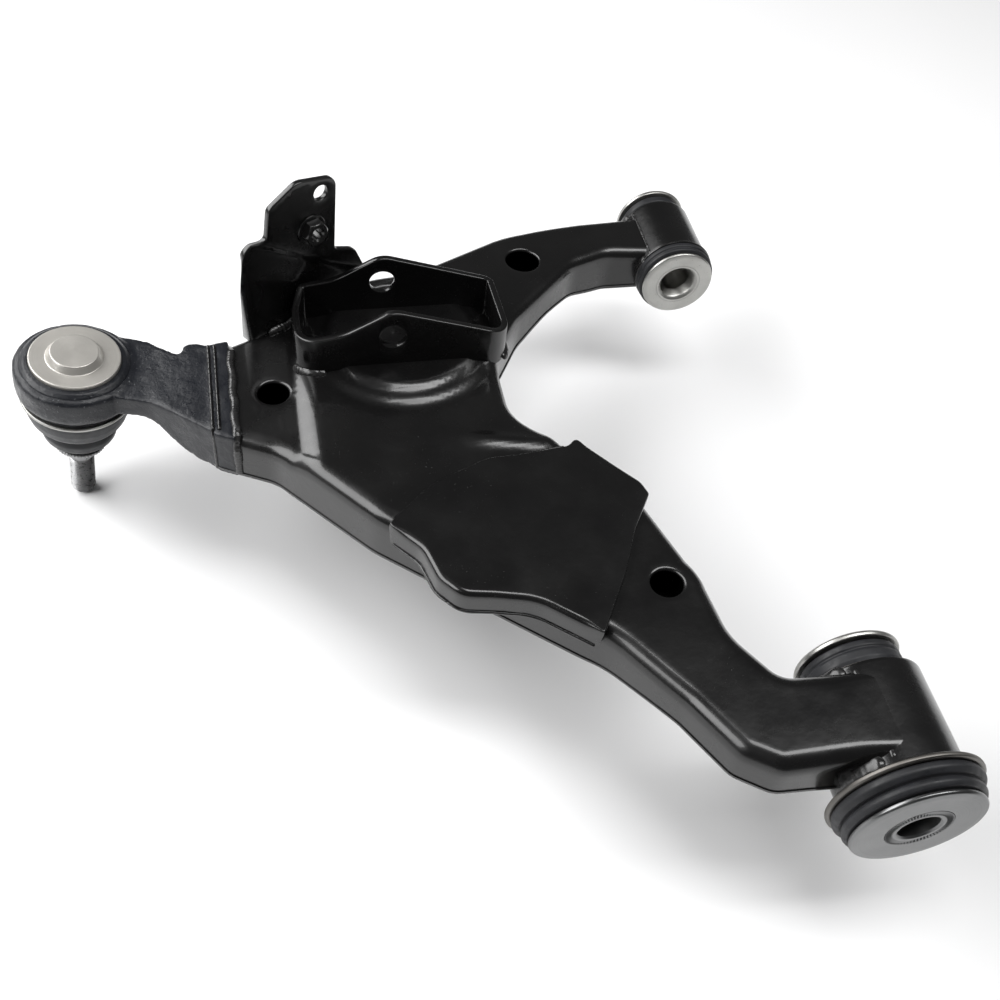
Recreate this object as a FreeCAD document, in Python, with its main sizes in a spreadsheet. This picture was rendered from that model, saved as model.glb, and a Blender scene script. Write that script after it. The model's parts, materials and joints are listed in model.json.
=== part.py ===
"""Pressed-steel suspension control arm with two rubber bushes and a ball joint.

Frame: the origin is the centre of the large bush's bore, +Y runs along the pivot axis to the small
bush, -X runs out to the ball joint, +Z is up. Millimetres.
"""
import FreeCAD, Part
import math
import os
import Sketcher
from FreeCAD import Placement, Rotation, Vector

doc = FreeCAD.newDocument("control_arm")
sheet = doc.addObject("Spreadsheet::Sheet", "sheet")

SIZES = {
    # the pivot axis
    "bush_spacing": 370,
    # large bush and its housing tube
    "large_tube_radius": 30.7, "large_tube_wall": 4, "large_tube_half": 27,
    "large_outer_wall": 2, "large_flange_radius": 38, "large_flange_thick": 2.8,
    "large_inner_radius": 16.4, "large_bore_radius": 10.2, "large_half": 45,
    "large_near_washer_radius": 32.6, "large_far_washer_radius": 27,
    "large_bulge_radius": 36.6, "large_groove_radius": 32.5, "large_bulge_two_radius": 34.4,
    "large_far_bulge_radius": 25.6,
    # small bush and its housing tube
    "small_tube_radius": 23.9, "small_tube_wall": 3.5, "small_tube_half": 22,
    "small_outer_wall": 1.5, "small_flange_radius": 25.4, "small_flange_thick": 1.8,
    "small_inner_radius": 14.4, "small_bore_radius": 9.1, "small_mouth_radius": 12.9, "small_half": 35,
    "small_washer_radius": 23.3, "small_bulge_radius": 25.2, "small_far_bulge_radius": 21.5,
    # both bushes
    "washer_thick": 3, "running_gap": 0.05, "end_gap": 0.3, "bore_chamfer": 0.8,
    # ball joint, measured down its own axis from the cover's face
    "ball_x": -368.1, "ball_y": 273.2, "ball_z": 28, "ball_tilt": 7.25, "ball_lean": 1.6,
    "cover_radius": 24, "cover_thick": 5, "boss_radius": 12.4, "boss_base_radius": 15, "boss_height": 4,
    "ring_radius": 32.3, "ring_top": 6, "ring_bottom": 23.5, "ring_lip": 3,
    "neck_radius": 26.5, "neck_bottom": 32, "cavity_radius": 21, "cavity_bottom": 26,
    "mouth_top_radius": 15, "mouth_bottom_radius": 17.5,
    "ball_radius": 12.5, "ball_depth": 19, "seat_top": 7.6, "seat_mouth_radius": 13.6,
    "seat_lip_depth": 24, "spring_inner": 8, "spring_outer": 18, "spring_thick": 1.2,
    "stud_neck_radius": 7.4, "stud_neck_end": 44, "stud_seat_radius": 9.4, "stud_seat_start": 50,
    "stud_seat_end": 64, "thread_radius": 7, "thread_start": 80, "stud_length": 109,
    "stud_chamfer": 1.2, "cotter_radius": 1.6, "cotter_depth": 103,
    "boot_wall": 1.8, "boot_top": 25, "boot_lip_end": 32.6, "boot_lip_radius": 28.4,
    "boot_bulge_depth": 35, "boot_bulge_radius": 28, "boot_shoulder_depth": 41,
    "boot_shoulder_radius": 26.4, "boot_groove_depth": 48.5, "boot_groove_radius": 20.6,
    "boot_lower_depth": 52.5, "boot_lower_radius": 21.2, "boot_turn_depth": 57, "boot_turn_radius": 20,
    "boot_slope_depth": 62, "boot_slope_radius": 15.5, "boot_neck_depth": 64.5, "boot_neck_radius": 12,
    "boot_bottom": 69, "boot_ring_radius": 29.6, "boot_ring_wire": 1.1, "boot_ring_depth": 27.3,
    "small_ring_radius": 13.5, "small_ring_wire": 1.1, "small_ring_depth": 67,
    # pressed shells
    "sheet_thick": 3, "shell_end": 286, "tray_rise": 1, "tray_depth": 13,
    "hole_one_radius": 8.6,
    "hole_two_radius": 10.4, "hole_three_radius": 8.2, "far_split": 200,
    "neck_top": 20, "step_top": 24, "body_top": 22, "leg_top": 21, "leg_tube_top": 30.2,
    "far_tube_top": 15, "body_bottom": -9, "leg_bottom": -3, "leg_tube_bottom": 0, "far_tube_bottom": -13,
    "plate_thick": 3.6, "plate_skirt_depth": 14, "dome_x": -190, "dome_y": 275,
    "dome_low_radius": 52, "dome_low_top": 25, "dome_high_radius": 44, "dome_high_top": 28,
    # forged end
    "collar_top": 21, "collar_bottom": -9.5,
    # shock absorber bracket
    "ear_front": 250.5, "ear_gap": 42.5, "ear_thick": 4, "ear_hole_x": -198.5, "ear_hole_z": 47,
    "ear_hole_radius": 7.2,
    # tall bracket for the anti-roll bar link
    "link_thick": 3.5, "link_yaw": 30, "link_x": -271, "link_y": 284, "link_hole_radius": 4.4,
    "link_hole_along": 46.7, "link_hole_z": 101.5, "nut_along": 39.4, "nut_z": 81.2, "nut_radius": 6.5,
    "nut_thread_radius": 3.4, "nut_height": 6.5, "gusset_top": 62,
}
for row, (alias, size) in enumerate(SIZES.items(), start=1):
    sheet.set(f"A{row}", alias)
    sheet.set(f"B{row}", str(size))
    sheet.setAlias(f"B{row}", alias)
doc.recompute()


def size(alias):
    """The number that a cell of the sheet holds."""
    return float(sheet.get(alias))


def bind(feature, **expressions):
    """Binds a feature's sizes to cells of the sheet, such as Radius="tube_radius"."""
    for name, expression in expressions.items():
        feature.setExpression(name, with_sheet(expression))


def with_sheet(expression):
    """Puts the sheet's name before every alias in an expression."""
    words = expression.split()
    return " ".join(f"sheet.{word}" if word[0].isalpha() else word for word in words)


def origin_plane(body, role):
    """One of a body's own three origin planes."""
    return next(plane for plane in body.Origin.OriginFeatures if plane.Role == role)


# ---------------------------------------------------------------- turned pieces

AXIS_Y = Rotation(Vector(1, 0, 0), -90)
LARGE_BUSH = Placement(Vector(0, 0, 0), AXIS_Y)
SMALL_BUSH = Placement(Vector(0, size("bush_spacing"), 0), AXIS_Y)
BALL_LEAN = Rotation(Vector(0, 1, 0), size("ball_tilt")) * Rotation(Vector(1, 0, 0), size("ball_lean"))
BALL_JOINT = Placement(Vector(size("ball_x"), size("ball_y"), size("ball_z")), BALL_LEAN)


def turned(label, place, profile):
    """A body of revolution. The profile's corners are (radius, height) expressions on the sheet."""
    body = doc.addObject("PartDesign::Body", label)
    sketch = body.newObject("Sketcher::SketchObject", f"{label}_profile")
    sketch.AttachmentSupport = [(origin_plane(body, "XZ_Plane"), "")]
    sketch.MapMode = "FlatFace"
    corners = [(10 + 3 * math.cos(turn), 3 * math.sin(turn))
               for turn in (math.tau * i / len(profile) for i in range(len(profile)))]
    for i, (x, y) in enumerate(corners):
        following = corners[(i + 1) % len(corners)]
        sketch.addGeometry(Part.LineSegment(Vector(x, y, 0), Vector(*following, 0)), False)
    for i in range(len(profile)):
        sketch.addConstraint(Sketcher.Constraint("Coincident", i, 2, (i + 1) % len(profile), 1))
    for i, (radius, height) in enumerate(profile):
        for kind, name, value, expression in (("DistanceX", f"radius{i}", corners[i][0], radius),
                                              ("DistanceY", f"height{i}", corners[i][1], height)):
            number = sketch.addConstraint(Sketcher.Constraint(kind, -1, 1, i, 1, value))
            sketch.renameConstraint(number, name)
            sketch.setExpression(f"Constraints.{name}", with_sheet(expression))
    turn = body.newObject("PartDesign::Revolution", f"{label}_turn")
    turn.Profile = sketch
    turn.ReferenceAxis = (sketch, ["V_Axis"])
    turn.Angle = 360
    body.Placement = place
    return body


def tube_profile(inner, outer, low, high):
    """The four corners of a plain tube's section."""
    return [(inner, low), (outer, low), (outer, high), (inner, high)]


def bush_housing(label, place, end):
    return turned(label, place, tube_profile(f"{end}_tube_radius - {end}_tube_wall", f"{end}_tube_radius",
                                             f"0 - {end}_tube_half", f"{end}_tube_half"))


def bush_outer_sleeve(label, place, end):
    """A thin sleeve pressed into the housing, with a flange against the housing's near end."""
    bore = f"{end}_tube_radius - {end}_tube_wall - {end}_outer_wall"
    outside = f"{end}_tube_radius - {end}_tube_wall"
    return turned(label, place, [
        (bore, f"0 - {end}_tube_half - {end}_flange_thick"),
        (f"{end}_flange_radius", f"0 - {end}_tube_half - {end}_flange_thick"),
        (f"{end}_flange_radius", f"0 - {end}_tube_half"),
        (outside, f"0 - {end}_tube_half"),
        (outside, f"{end}_tube_half + 2"),
        (bore, f"{end}_tube_half + 2")])


def washer(label, place, end, radius, side):
    """An end washer pressed on the inner sleeve; side is -1 at the near end and 1 at the far end."""
    inside = f"{end}_half - washer_thick"
    low, high = (f"0 - {end}_half", f"0 - ( {inside} )") if side < 0 else (inside, f"{end}_half")
    return turned(label, place, tube_profile(f"{end}_inner_radius", radius, low, high))


large_bush_housing = bush_housing("large_bush_housing", LARGE_BUSH, "large")
small_bush_housing = bush_housing("small_bush_housing", SMALL_BUSH, "small")
large_bush_outer_sleeve = bush_outer_sleeve("large_bush_outer_sleeve", LARGE_BUSH, "large")
small_bush_outer_sleeve = bush_outer_sleeve("small_bush_outer_sleeve", SMALL_BUSH, "small")

large_bush_inner_sleeve = turned("large_bush_inner_sleeve", LARGE_BUSH, [
    ("large_bore_radius + bore_chamfer", "0 - large_half"), ("large_inner_radius", "0 - large_half"),
    ("large_inner_radius", "large_half"), ("large_bore_radius + bore_chamfer", "large_half"),
    ("large_bore_radius", "large_half - bore_chamfer"),
    ("large_bore_radius", "0 - large_half + bore_chamfer")])
small_bush_inner_sleeve = turned("small_bush_inner_sleeve", SMALL_BUSH, [
    ("small_mouth_radius", "0 - small_half"), ("small_inner_radius", "0 - small_half"),
    ("small_inner_radius", "small_half"), ("small_bore_radius + bore_chamfer", "small_half"),
    ("small_bore_radius", "small_half - bore_chamfer"), ("small_bore_radius", "0 - small_half + 7")])
large_bush_near_washer = washer("large_bush_near_washer", LARGE_BUSH, "large", "large_near_washer_radius", -1)
large_bush_far_washer = washer("large_bush_far_washer", LARGE_BUSH, "large", "large_far_washer_radius", 1)
small_bush_near_washer = washer("small_bush_near_washer", SMALL_BUSH, "small", "small_washer_radius", -1)
small_bush_far_washer = washer("small_bush_far_washer", SMALL_BUSH, "small", "small_washer_radius", 1)

LARGE_END = "large_half - washer_thick - end_gap"
LARGE_SLEEVE_BORE = "large_tube_radius - large_tube_wall - large_outer_wall"
LARGE_FLANGE_FACE = "large_tube_half + large_flange_thick"
large_bush_rubber = turned("large_bush_rubber", LARGE_BUSH, [
    ("large_inner_radius + running_gap", f"0 - ( {LARGE_END} )"),
    ("large_groove_radius - 2", f"0 - ( {LARGE_END} )"),
    ("large_bulge_two_radius", f"0 - ( {LARGE_END} ) + 1.6"),
    ("large_bulge_two_radius", f"0 - ( {LARGE_END} ) + 4.4"),
    ("large_groove_radius", f"0 - ( {LARGE_END} ) + 5.6"),
    ("large_bulge_radius", f"0 - ( {LARGE_END} ) + 7"),
    ("large_bulge_radius", f"0 - ( {LARGE_FLANGE_FACE} )"),
    (LARGE_SLEEVE_BORE, f"0 - ( {LARGE_FLANGE_FACE} )"),
    (LARGE_SLEEVE_BORE, "large_tube_half + 2"),
    ("large_far_bulge_radius", "large_tube_half + 5"),
    ("large_far_bulge_radius", f"{LARGE_END} - 2"),
    ("large_far_bulge_radius - 2", LARGE_END),
    ("large_inner_radius + running_gap", LARGE_END)])

SMALL_END = "small_half - washer_thick - end_gap"
SMALL_SLEEVE_BORE = "small_tube_radius - small_tube_wall - small_outer_wall"
SMALL_FLANGE_FACE = "small_tube_half + small_flange_thick"
small_bush_rubber = turned("small_bush_rubber", SMALL_BUSH, [
    ("small_inner_radius + running_gap", f"0 - ( {SMALL_END} )"),
    ("small_bulge_radius - 1.6", f"0 - ( {SMALL_END} )"),
    ("small_bulge_radius", f"0 - ( {SMALL_END} ) + 1.6"),
    ("small_bulge_radius", f"0 - ( {SMALL_FLANGE_FACE} )"),
    (SMALL_SLEEVE_BORE, f"0 - ( {SMALL_FLANGE_FACE} )"),
    (SMALL_SLEEVE_BORE, "small_tube_half + 2"),
    ("small_far_bulge_radius", "small_tube_half + 4"),
    ("small_far_bulge_radius", f"{SMALL_END} - 1.5"),
    ("small_far_bulge_radius - 1.5", SMALL_END),
    ("small_inner_radius + running_gap", SMALL_END)])

# ---------------------------------------------------------------- ball joint


def primitive(kind, label, place, **expressions):
    """A Part primitive whose sizes come from the sheet."""
    feature = doc.addObject(f"Part::{kind}", label)
    bind(feature, **expressions)
    feature.Placement = place
    return feature


def combined(kind, label, base, tool):
    """A boolean of two objects: Cut, Common or Fuse."""
    feature = doc.addObject(f"Part::{kind}", label)
    feature.Base = base
    feature.Tool = tool
    return feature


def down(depth):
    """A place on the ball joint's axis, so far below the cover's face."""
    return BALL_JOINT * Placement(Vector(0, 0, -depth), Rotation())


ball_joint_cover = turned("ball_joint_cover", BALL_JOINT, [
    ("0", "0 - cover_thick"), ("cover_radius", "0 - cover_thick"), ("cover_radius", "0 - 0.8"),
    ("cover_radius - 0.8", "0"), ("boss_base_radius", "0"), ("boss_radius", "boss_height"),
    ("0", "boss_height")])
preload_spring = turned("preload_spring", BALL_JOINT, [
    ("spring_inner", "0 - cover_thick - spring_thick"),
    ("spring_outer", "0 - cover_thick - 2 * spring_thick"),
    ("spring_outer", "0 - cover_thick - spring_thick"), ("spring_inner", "0 - cover_thick")])

seat_ball = primitive("Sphere", "seat_ball", down(size("ball_depth")), Radius="ball_radius + running_gap")
upper_seat_blank = turned("upper_seat_blank", BALL_JOINT, tube_profile(
    "0", "cavity_radius", "0 - ball_depth", "0 - seat_top"))
lower_seat_blank = turned("lower_seat_blank", BALL_JOINT, [
    ("0", "0 - cavity_bottom"), ("cavity_radius", "0 - cavity_bottom"), ("cavity_radius", "0 - ball_depth"),
    ("0", "0 - ball_depth")])
seat_mouth = turned("seat_mouth", BALL_JOINT, [
    ("0", "0 - cavity_bottom - 1"), ("seat_mouth_radius", "0 - cavity_bottom - 1"),
    ("ball_radius - 1", "0 - seat_lip_depth"), ("0", "0 - seat_lip_depth")])
upper_bearing_seat = combined("Cut", "upper_bearing_seat", upper_seat_blank, seat_ball)
lower_seat_cup = combined("Cut", "lower_seat_cup", lower_seat_blank, seat_ball)
lower_bearing_seat = combined("Cut", "lower_bearing_seat", lower_seat_cup, seat_mouth)

stud_shank = turned("stud_shank", BALL_JOINT, [
    ("0", "0 - ball_depth"), ("stud_neck_radius", "0 - ball_depth"),
    ("stud_neck_radius", "0 - stud_neck_end"),
    ("stud_seat_radius", "0 - stud_seat_start"), ("stud_seat_radius", "0 - stud_seat_end"),
    ("thread_radius + 0.3", "0 - thread_start + 1"), ("thread_radius", "0 - thread_start"),
    ("thread_radius", "0 - stud_length + stud_chamfer"), ("thread_radius - stud_chamfer", "0 - stud_length"),
    ("0", "0 - stud_length")])
stud_ball = primitive("Sphere", "stud_ball", down(size("ball_depth")), Radius="ball_radius")
stud_blank = combined("Fuse", "stud_blank", stud_shank, stud_ball)
cotter_turn = Placement(Vector(-12, 0, 0), Rotation(Vector(0, 1, 0), 90))
cotter_drill = primitive("Cylinder", "cotter_drill", down(size("cotter_depth")) * cotter_turn,
                         Radius="cotter_radius")
cotter_drill.Height = 24
ball_stud = combined("Cut", "ball_stud", stud_blank, cotter_drill)

BOOT_LINE = [("boot_lip_radius", "boot_top"), ("boot_lip_radius", "boot_lip_end"),
             ("boot_bulge_radius", "boot_bulge_depth"), ("boot_shoulder_radius", "boot_shoulder_depth"),
             ("boot_groove_radius", "boot_groove_depth"), ("boot_lower_radius", "boot_lower_depth"),
             ("boot_turn_radius", "boot_turn_depth"), ("boot_slope_radius", "boot_slope_depth"),
             ("boot_neck_radius", "boot_neck_depth"), ("boot_neck_radius", "boot_bottom")]
BOOT_OUTSIDE = [(radius, f"0 - {depth}") for radius, depth in BOOT_LINE]
BOOT_INSIDE = [(f"{radius} - boot_wall", f"0 - {depth}") for radius, depth in reversed(BOOT_LINE)]
dust_boot = turned("dust_boot", BALL_JOINT, BOOT_OUTSIDE + BOOT_INSIDE)
boot_large_ring = primitive("Torus", "boot_large_ring", down(size("boot_ring_depth")),
                            Radius1="boot_ring_radius", Radius2="boot_ring_wire")
boot_small_ring = primitive("Torus", "boot_small_ring", down(size("small_ring_depth")),
                            Radius1="small_ring_radius", Radius2="small_ring_wire")

# ---------------------------------------------------------------- outlines with rounded corners


def rounded_edges(corners):
    """The straight and round edges of a closed outline whose corners are (x, y, radius)."""
    count = len(corners)
    points = [Vector(x, y, 0) for x, y, radius in corners]
    starts, ends, middles = [], [], []
    for i, (x, y, radius) in enumerate(corners):
        back = (points[i - 1] - points[i]).normalize()
        ahead = (points[(i + 1) % count] - points[i]).normalize()
        half = math.acos(max(-1, min(1, back.dot(ahead)))) / 2
        reach = radius / math.tan(half) if radius else 0
        bisector = (back + ahead).normalize() if radius else Vector()
        starts.append(points[i] + back * reach)
        ends.append(points[i] + ahead * reach)
        middles.append(points[i] + bisector * (radius / math.sin(half) - radius))
    edges = []
    for i, (x, y, radius) in enumerate(corners):
        if radius:
            edges.append(Part.Arc(starts[i], middles[i], ends[i]))
        if (starts[(i + 1) % count] - ends[i]).Length > 1e-6:
            edges.append(Part.LineSegment(ends[i], starts[(i + 1) % count]))
    return edges


def outline(label, corners, place=Placement()):
    """A sketch of a rounded outline, standing free in the part's frame."""
    sketch = doc.addObject("Sketcher::SketchObject", label)
    sketch.addGeometry(rounded_edges(corners), False)
    sketch.Placement = place
    return sketch


def extrusion(label, sketch, direction, length):
    """A solid of a sketch's outline along a direction; the length is an expression on the sheet."""
    feature = doc.addObject("Part::Extrusion", label)
    feature.Base = sketch
    feature.DirMode = "Custom"
    feature.Dir = direction
    feature.Solid = True
    bind(feature, LengthFwd=length)
    return feature


# ---------------------------------------------------------------- pressed shells

END = -size("shell_end")
ARM_PLAN = [
    (END, 209, 0), (-268, 200, 25), (-222, 147, 60), (-120, 61, 60), (-94, 23, 40), (-78, -7, 14),
    (-62, -19, 14), (-6, -23, 0), (-6, 24, 0), (-48, 26, 16), (-61, 55, 40), (-64, 88, 40),
    (-83, 152, 30), (-110, 184, 20), (-137, 214, 28), (-137, 258, 35), (-117, 291, 40), (-72, 337, 30),
    (-46, 349, 20), (-6, 349, 0), (-6, 392, 0), (-60, 382, 60), (-115, 369, 80), (-165, 343, 80),
    (-222, 326, 60), (-262, 298, 40), (END, 287, 0)]
ABOVE = 60
STEP_FOOT = -255
STEP_HEAD = -249

arm_plan = outline("arm_plan", ARM_PLAN, Placement(Vector(0, 0, -ABOVE), Rotation()))
inner_plan = doc.addObject("Part::Offset2D", "inner_plan")
inner_plan.Source = arm_plan
bind(inner_plan, Value="0 - sheet_thick")
tray_plan = doc.addObject("Part::Offset2D", "tray_plan")
tray_plan.Source = arm_plan
bind(tray_plan, Value="0 - 2 * sheet_thick")


def surface_line(side, surface, shift):
    """The arm's top or bottom line seen along Y, from the ball joint to the pivot axis."""
    tube = {("near", "top"): "leg_tube_top", ("far", "top"): "far_tube_top",
            ("near", "bottom"): "leg_tube_bottom", ("far", "bottom"): "far_tube_bottom"}[side, surface]
    if surface == "top":
        line = [(END - 20, size("neck_top")), (STEP_FOOT, size("neck_top")), (STEP_HEAD, size("step_top")),
                (-150, size("body_top")), (-95, size("leg_top")), (2, size(tube))]
    else:
        line = [(END - 20, size("body_bottom")), (-130, size("body_bottom")), (-95, size("leg_bottom")),
                (-50, size(tube)), (2, size(tube))]
    return [(x, z + shift, 0) for x, z in line]


UPRIGHT = Rotation(Vector(1, 0, 0), 90)
NEAR_REACH = 60
FAR_REACH = 220


def envelope(label, plan, low, high):
    """The space between two surfaces, each a ("top" or "bottom", shift), inside a plan outline."""
    blocks = []
    across = Placement(Vector(0, size("far_split"), 0), UPRIGHT)
    for side, way, reach in (("near", -1, f"far_split + {NEAR_REACH}"), ("far", 1, f"{FAR_REACH}")):
        corners = surface_line(side, *low) + surface_line(side, *high)[::-1]
        profile = outline(f"{label}_{side}_side", corners, across)
        blocks.append(extrusion(f"{label}_{side}", profile, Vector(0, way, 0), reach))
    both = combined("Fuse", f"{label}_sides", *blocks)
    column = extrusion(f"{label}_column", plan, Vector(0, 0, 1), f"{2 * ABOVE}")
    return combined("Common", label, column, both)


def upright_cylinder(label, x, y, low, **expressions):
    return primitive("Cylinder", label, Placement(Vector(x, y, low), Rotation()), **expressions)


def joined(label, shapes):
    """A fusion of several objects."""
    feature = doc.addObject("Part::MultiFuse", label)
    feature.Shapes = shapes
    return feature


def dome(label, shrink):
    """The stepped dome pressed up under the shock absorber bracket."""
    levels = [upright_cylinder(f"{label}_{level}", size("dome_x"), size("dome_y"), 0,
                               Radius=f"dome_{level}_radius - {shrink} * sheet_thick",
                               Height=f"dome_{level}_top - {shrink} * sheet_thick")
              for level in ("low", "high")]
    return combined("Fuse", label, *levels)


arm_block = joined("arm_block", [envelope("arm_space", arm_plan, ("bottom", 0), ("top", 0)),
                                 dome("dome_outside", 0)])
arm_hollow = joined("arm_hollow", [
    envelope("hollow_space", inner_plan, ("bottom", -10), ("top", -size("sheet_thick"))),
    dome("dome_inside", 1)])


def bore_drill(label, place, radius):
    """A long cylinder on the pivot axis, to notch the sheets around a housing."""
    shift = Placement(Vector(0, 0, -ABOVE), Rotation())
    return primitive("Cylinder", label, place * shift, Radius=radius, Height=f"{2 * ABOVE}")


notches = combined("Fuse", "notches", bore_drill("large_notch", LARGE_BUSH, "large_tube_radius"),
                   bore_drill("small_notch", SMALL_BUSH, "small_tube_radius"))
drills = joined("drills", [
    notches,
    upright_cylinder("drill_one", -265, 243, 0, Radius="hole_one_radius", Height=f"{ABOVE}"),
    upright_cylinder("drill_two", -104.5, 342, 0, Radius="hole_two_radius", Height=f"{ABOVE}"),
    upright_cylinder("drill_three", -84.5, 88.5, 0, Radius="hole_three_radius", Height=f"{ABOVE}")])
upper_pressing = combined("Cut", "upper_pressing", arm_block, arm_hollow)
upper_shell = combined("Cut", "upper_shell", upper_pressing, drills)

tray_space = envelope("tray_space", inner_plan, ("bottom", size("tray_rise")), ("bottom", size("tray_depth")))
tray_hollow = envelope("tray_hollow", tray_plan, ("bottom", size("tray_rise") + size("sheet_thick")),
                       ("bottom", ABOVE / 2))
tray = combined("Cut", "tray", tray_space, tray_hollow)
lower_shell = combined("Cut", "lower_shell", tray, notches)

# ---------------------------------------------------------------- reinforcement plate

PLATE_PLAN = [
    (-216.4, 138.1, 0), (-202.5, 122, 18), (-197.5, 103, 16), (-187.5, 91, 14), (-172, 88.5, 20),
    (-152, 84, 30), (-124, 61, 0), (-104.3, 95, 60), (-92, 122, 40), (-78.8, 143.2, 3), (-80, 152, 10),
    (-108, 187, 3), (-113.5, 181.5, 6), (-140, 178, 20), (-159, 177, 30), (-191, 162, 40)]
plate_plan = outline("plate_plan", PLATE_PLAN, Placement(Vector(0, 0, -ABOVE), Rotation()))
plate_inner_plan = doc.addObject("Part::Offset2D", "plate_inner_plan")
plate_inner_plan.Source = plate_plan
bind(plate_inner_plan, Value="0 - plate_thick")
plate_space = envelope("plate_space", plate_plan, ("top", -size("plate_skirt_depth")),
                       ("top", size("plate_thick")))
plate_hollow = envelope("plate_hollow", plate_inner_plan, ("top", -size("plate_skirt_depth") - 1), ("top", 0))
plate_blank = combined("Cut", "plate_blank", plate_space, plate_hollow)
reinforcement_plate = combined("Cut", "reinforcement_plate", plate_blank, arm_block)

# ---------------------------------------------------------------- forged end

forged_ring = turned("forged_ring", BALL_JOINT, [
    ("cover_radius", "0 - ring_lip"), ("cover_radius + 1.6", "0 - ring_lip"),
    ("ring_radius - 1.5", "0 - ring_top"), ("ring_radius", "0 - ring_top - 1.5"),
    ("ring_radius", "0 - ring_bottom + 1.5"), ("ring_radius - 1.5", "0 - ring_bottom"),
    ("neck_radius", "0 - ring_bottom"), ("neck_radius", "0 - neck_bottom"),
    ("mouth_bottom_radius", "0 - neck_bottom"), ("mouth_top_radius", "0 - cavity_bottom"),
    ("cavity_radius", "0 - cavity_bottom"), ("cavity_radius", "0 - cover_thick"),
    ("cover_radius", "0 - cover_thick")])
SHANK_PLAN = [(-366, 252, 0), (-344, 248, 20), (-330, 243.5, 15), (-299, 217, 0), (-299, 281, 0),
              (-305, 286.8, 4), (-312, 286.5, 4), (-313, 276, 4), (-331.5, 292.5, 8), (-350, 299, 0),
              (-366, 295, 0)]
SHANK_SIDE = [(-375, 18.5, 0), (-344, 18.5, 60), (-299, 20, 0), (-299, -9, 0), (-312, -10, 8),
              (-335, 3.5, 12), (-375, 7, 0)]
COLLAR_PLAN = [(-299, 215.5, 3), (END, 208.5, 0), (END, 287.5, 0), (-299, 284, 3)]
shank_plan = outline("shank_plan", SHANK_PLAN, Placement(Vector(0, 0, -ABOVE), Rotation()))
shank_column = extrusion("shank_column", shank_plan, Vector(0, 0, 1), f"{2 * ABOVE}")
shank_side = outline("shank_side", SHANK_SIDE, Placement(Vector(0, 200, 0), UPRIGHT))
shank_block = extrusion("shank_block", shank_side, Vector(0, 1, 0), "140")
shank_blank = combined("Common", "shank_blank", shank_column, shank_block)
ring_core = primitive("Cylinder", "ring_core", down(ABOVE), Radius="ring_radius - 3", Height=f"{2 * ABOVE}")
shank = combined("Cut", "shank", shank_blank, ring_core)
collar_plan = outline("collar_plan", COLLAR_PLAN, Placement(Vector(0, 0, size("collar_bottom")), Rotation()))
collar = extrusion("collar", collar_plan, Vector(0, 0, 1), "collar_top - collar_bottom")
forged_end = joined("forged_end", [forged_ring, shank, collar])

# ---------------------------------------------------------------- shock absorber bracket

REAR_FACE = size("ear_front") + 2 * size("ear_thick") + size("ear_gap")
BRACKET_FOOT = 15
BRACKET_PLAN = [(-251, size("ear_front"), 13), (-131.5, size("ear_front"), 13), (-133.5, REAR_FACE, 5),
                (-246, REAR_FACE, 5), (-251, 280, 30)]
EAR_OUTLINE = [(-256, BRACKET_FOOT, 0), (-256, 45, 0), (-226, 49.5, 30), (-199, 64.5, 14), (-134, 43.5, 20),
               (-124, 41.5, 0), (-124, BRACKET_FOOT, 0)]
bracket_plan = outline("bracket_plan", BRACKET_PLAN, Placement(Vector(0, 0, BRACKET_FOOT), Rotation()))
bracket_inner_plan = doc.addObject("Part::Offset2D", "bracket_inner_plan")
bracket_inner_plan.Source = bracket_plan
bind(bracket_inner_plan, Value="0 - ear_thick")
bracket_ring = combined("Cut", "bracket_ring",
                        extrusion("bracket_column", bracket_plan, Vector(0, 0, 1), f"{ABOVE}"),
                        extrusion("bracket_well", bracket_inner_plan, Vector(0, 0, 1), f"{ABOVE}"))
ear_outline = outline("ear_outline", EAR_OUTLINE, Placement(Vector(0, size("ear_front") - 1, 0), UPRIGHT))
ear_space = extrusion("ear_space", ear_outline, Vector(0, 1, 0), "2 * ear_thick + ear_gap + 2")
bracket_sheet = combined("Common", "bracket_sheet", bracket_ring, ear_space)
bracket_seated = combined("Cut", "bracket_seated", bracket_sheet, arm_block)
bolt_place = Placement(Vector(size("ear_hole_x"), size("ear_front") - 10, size("ear_hole_z")), AXIS_Y)
bolt_drill = primitive("Cylinder", "bolt_drill", bolt_place, Radius="ear_hole_radius", Height="ear_gap + 40")
shock_bracket = combined("Cut", "shock_bracket", bracket_seated, bolt_drill)

# ---------------------------------------------------------------- link bracket and its weld nut

LINK_OUTLINE = [(0, 12, 0), (-5, 83, 5), (10, 86, 3), (12, 106, 5), (31, 116, 9), (55, 110, 7), (54, 61, 3),
                (66, 56, 6), (77, 34, 3), (78, 18, 0)]
link_plane = Placement(Vector(size("link_x"), size("link_y"), 0),
                       Rotation(Vector(0, 0, 1), size("link_yaw")) * UPRIGHT)
link_back = link_plane.Rotation.multVec(Vector(0, 0, -1))
link_outline = outline("link_outline", LINK_OUTLINE, link_plane)
link_plate = extrusion("link_plate", link_outline, link_back, "link_thick")
GUSSET_PLAN = [(-0.5, 0, 0), (3, 3, 0), (-4, 12, 0), (-7.5, 9.5, 0)]
gusset_turn = Rotation(Vector(0, 0, 1), size("link_yaw"))
gusset_place = Placement(Vector(size("link_x"), size("link_y"), 12), gusset_turn)
gusset_plan = outline("gusset_plan", GUSSET_PLAN, gusset_place)
gusset = extrusion("gusset", gusset_plan, Vector(0, 0, 1), "gusset_top - 12")
link_sheet = combined("Fuse", "link_sheet", link_plate, gusset)
link_on_arm = combined("Cut", "link_on_arm", link_sheet, arm_block)
link_seated = combined("Cut", "link_seated", link_on_arm, bracket_seated)


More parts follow.
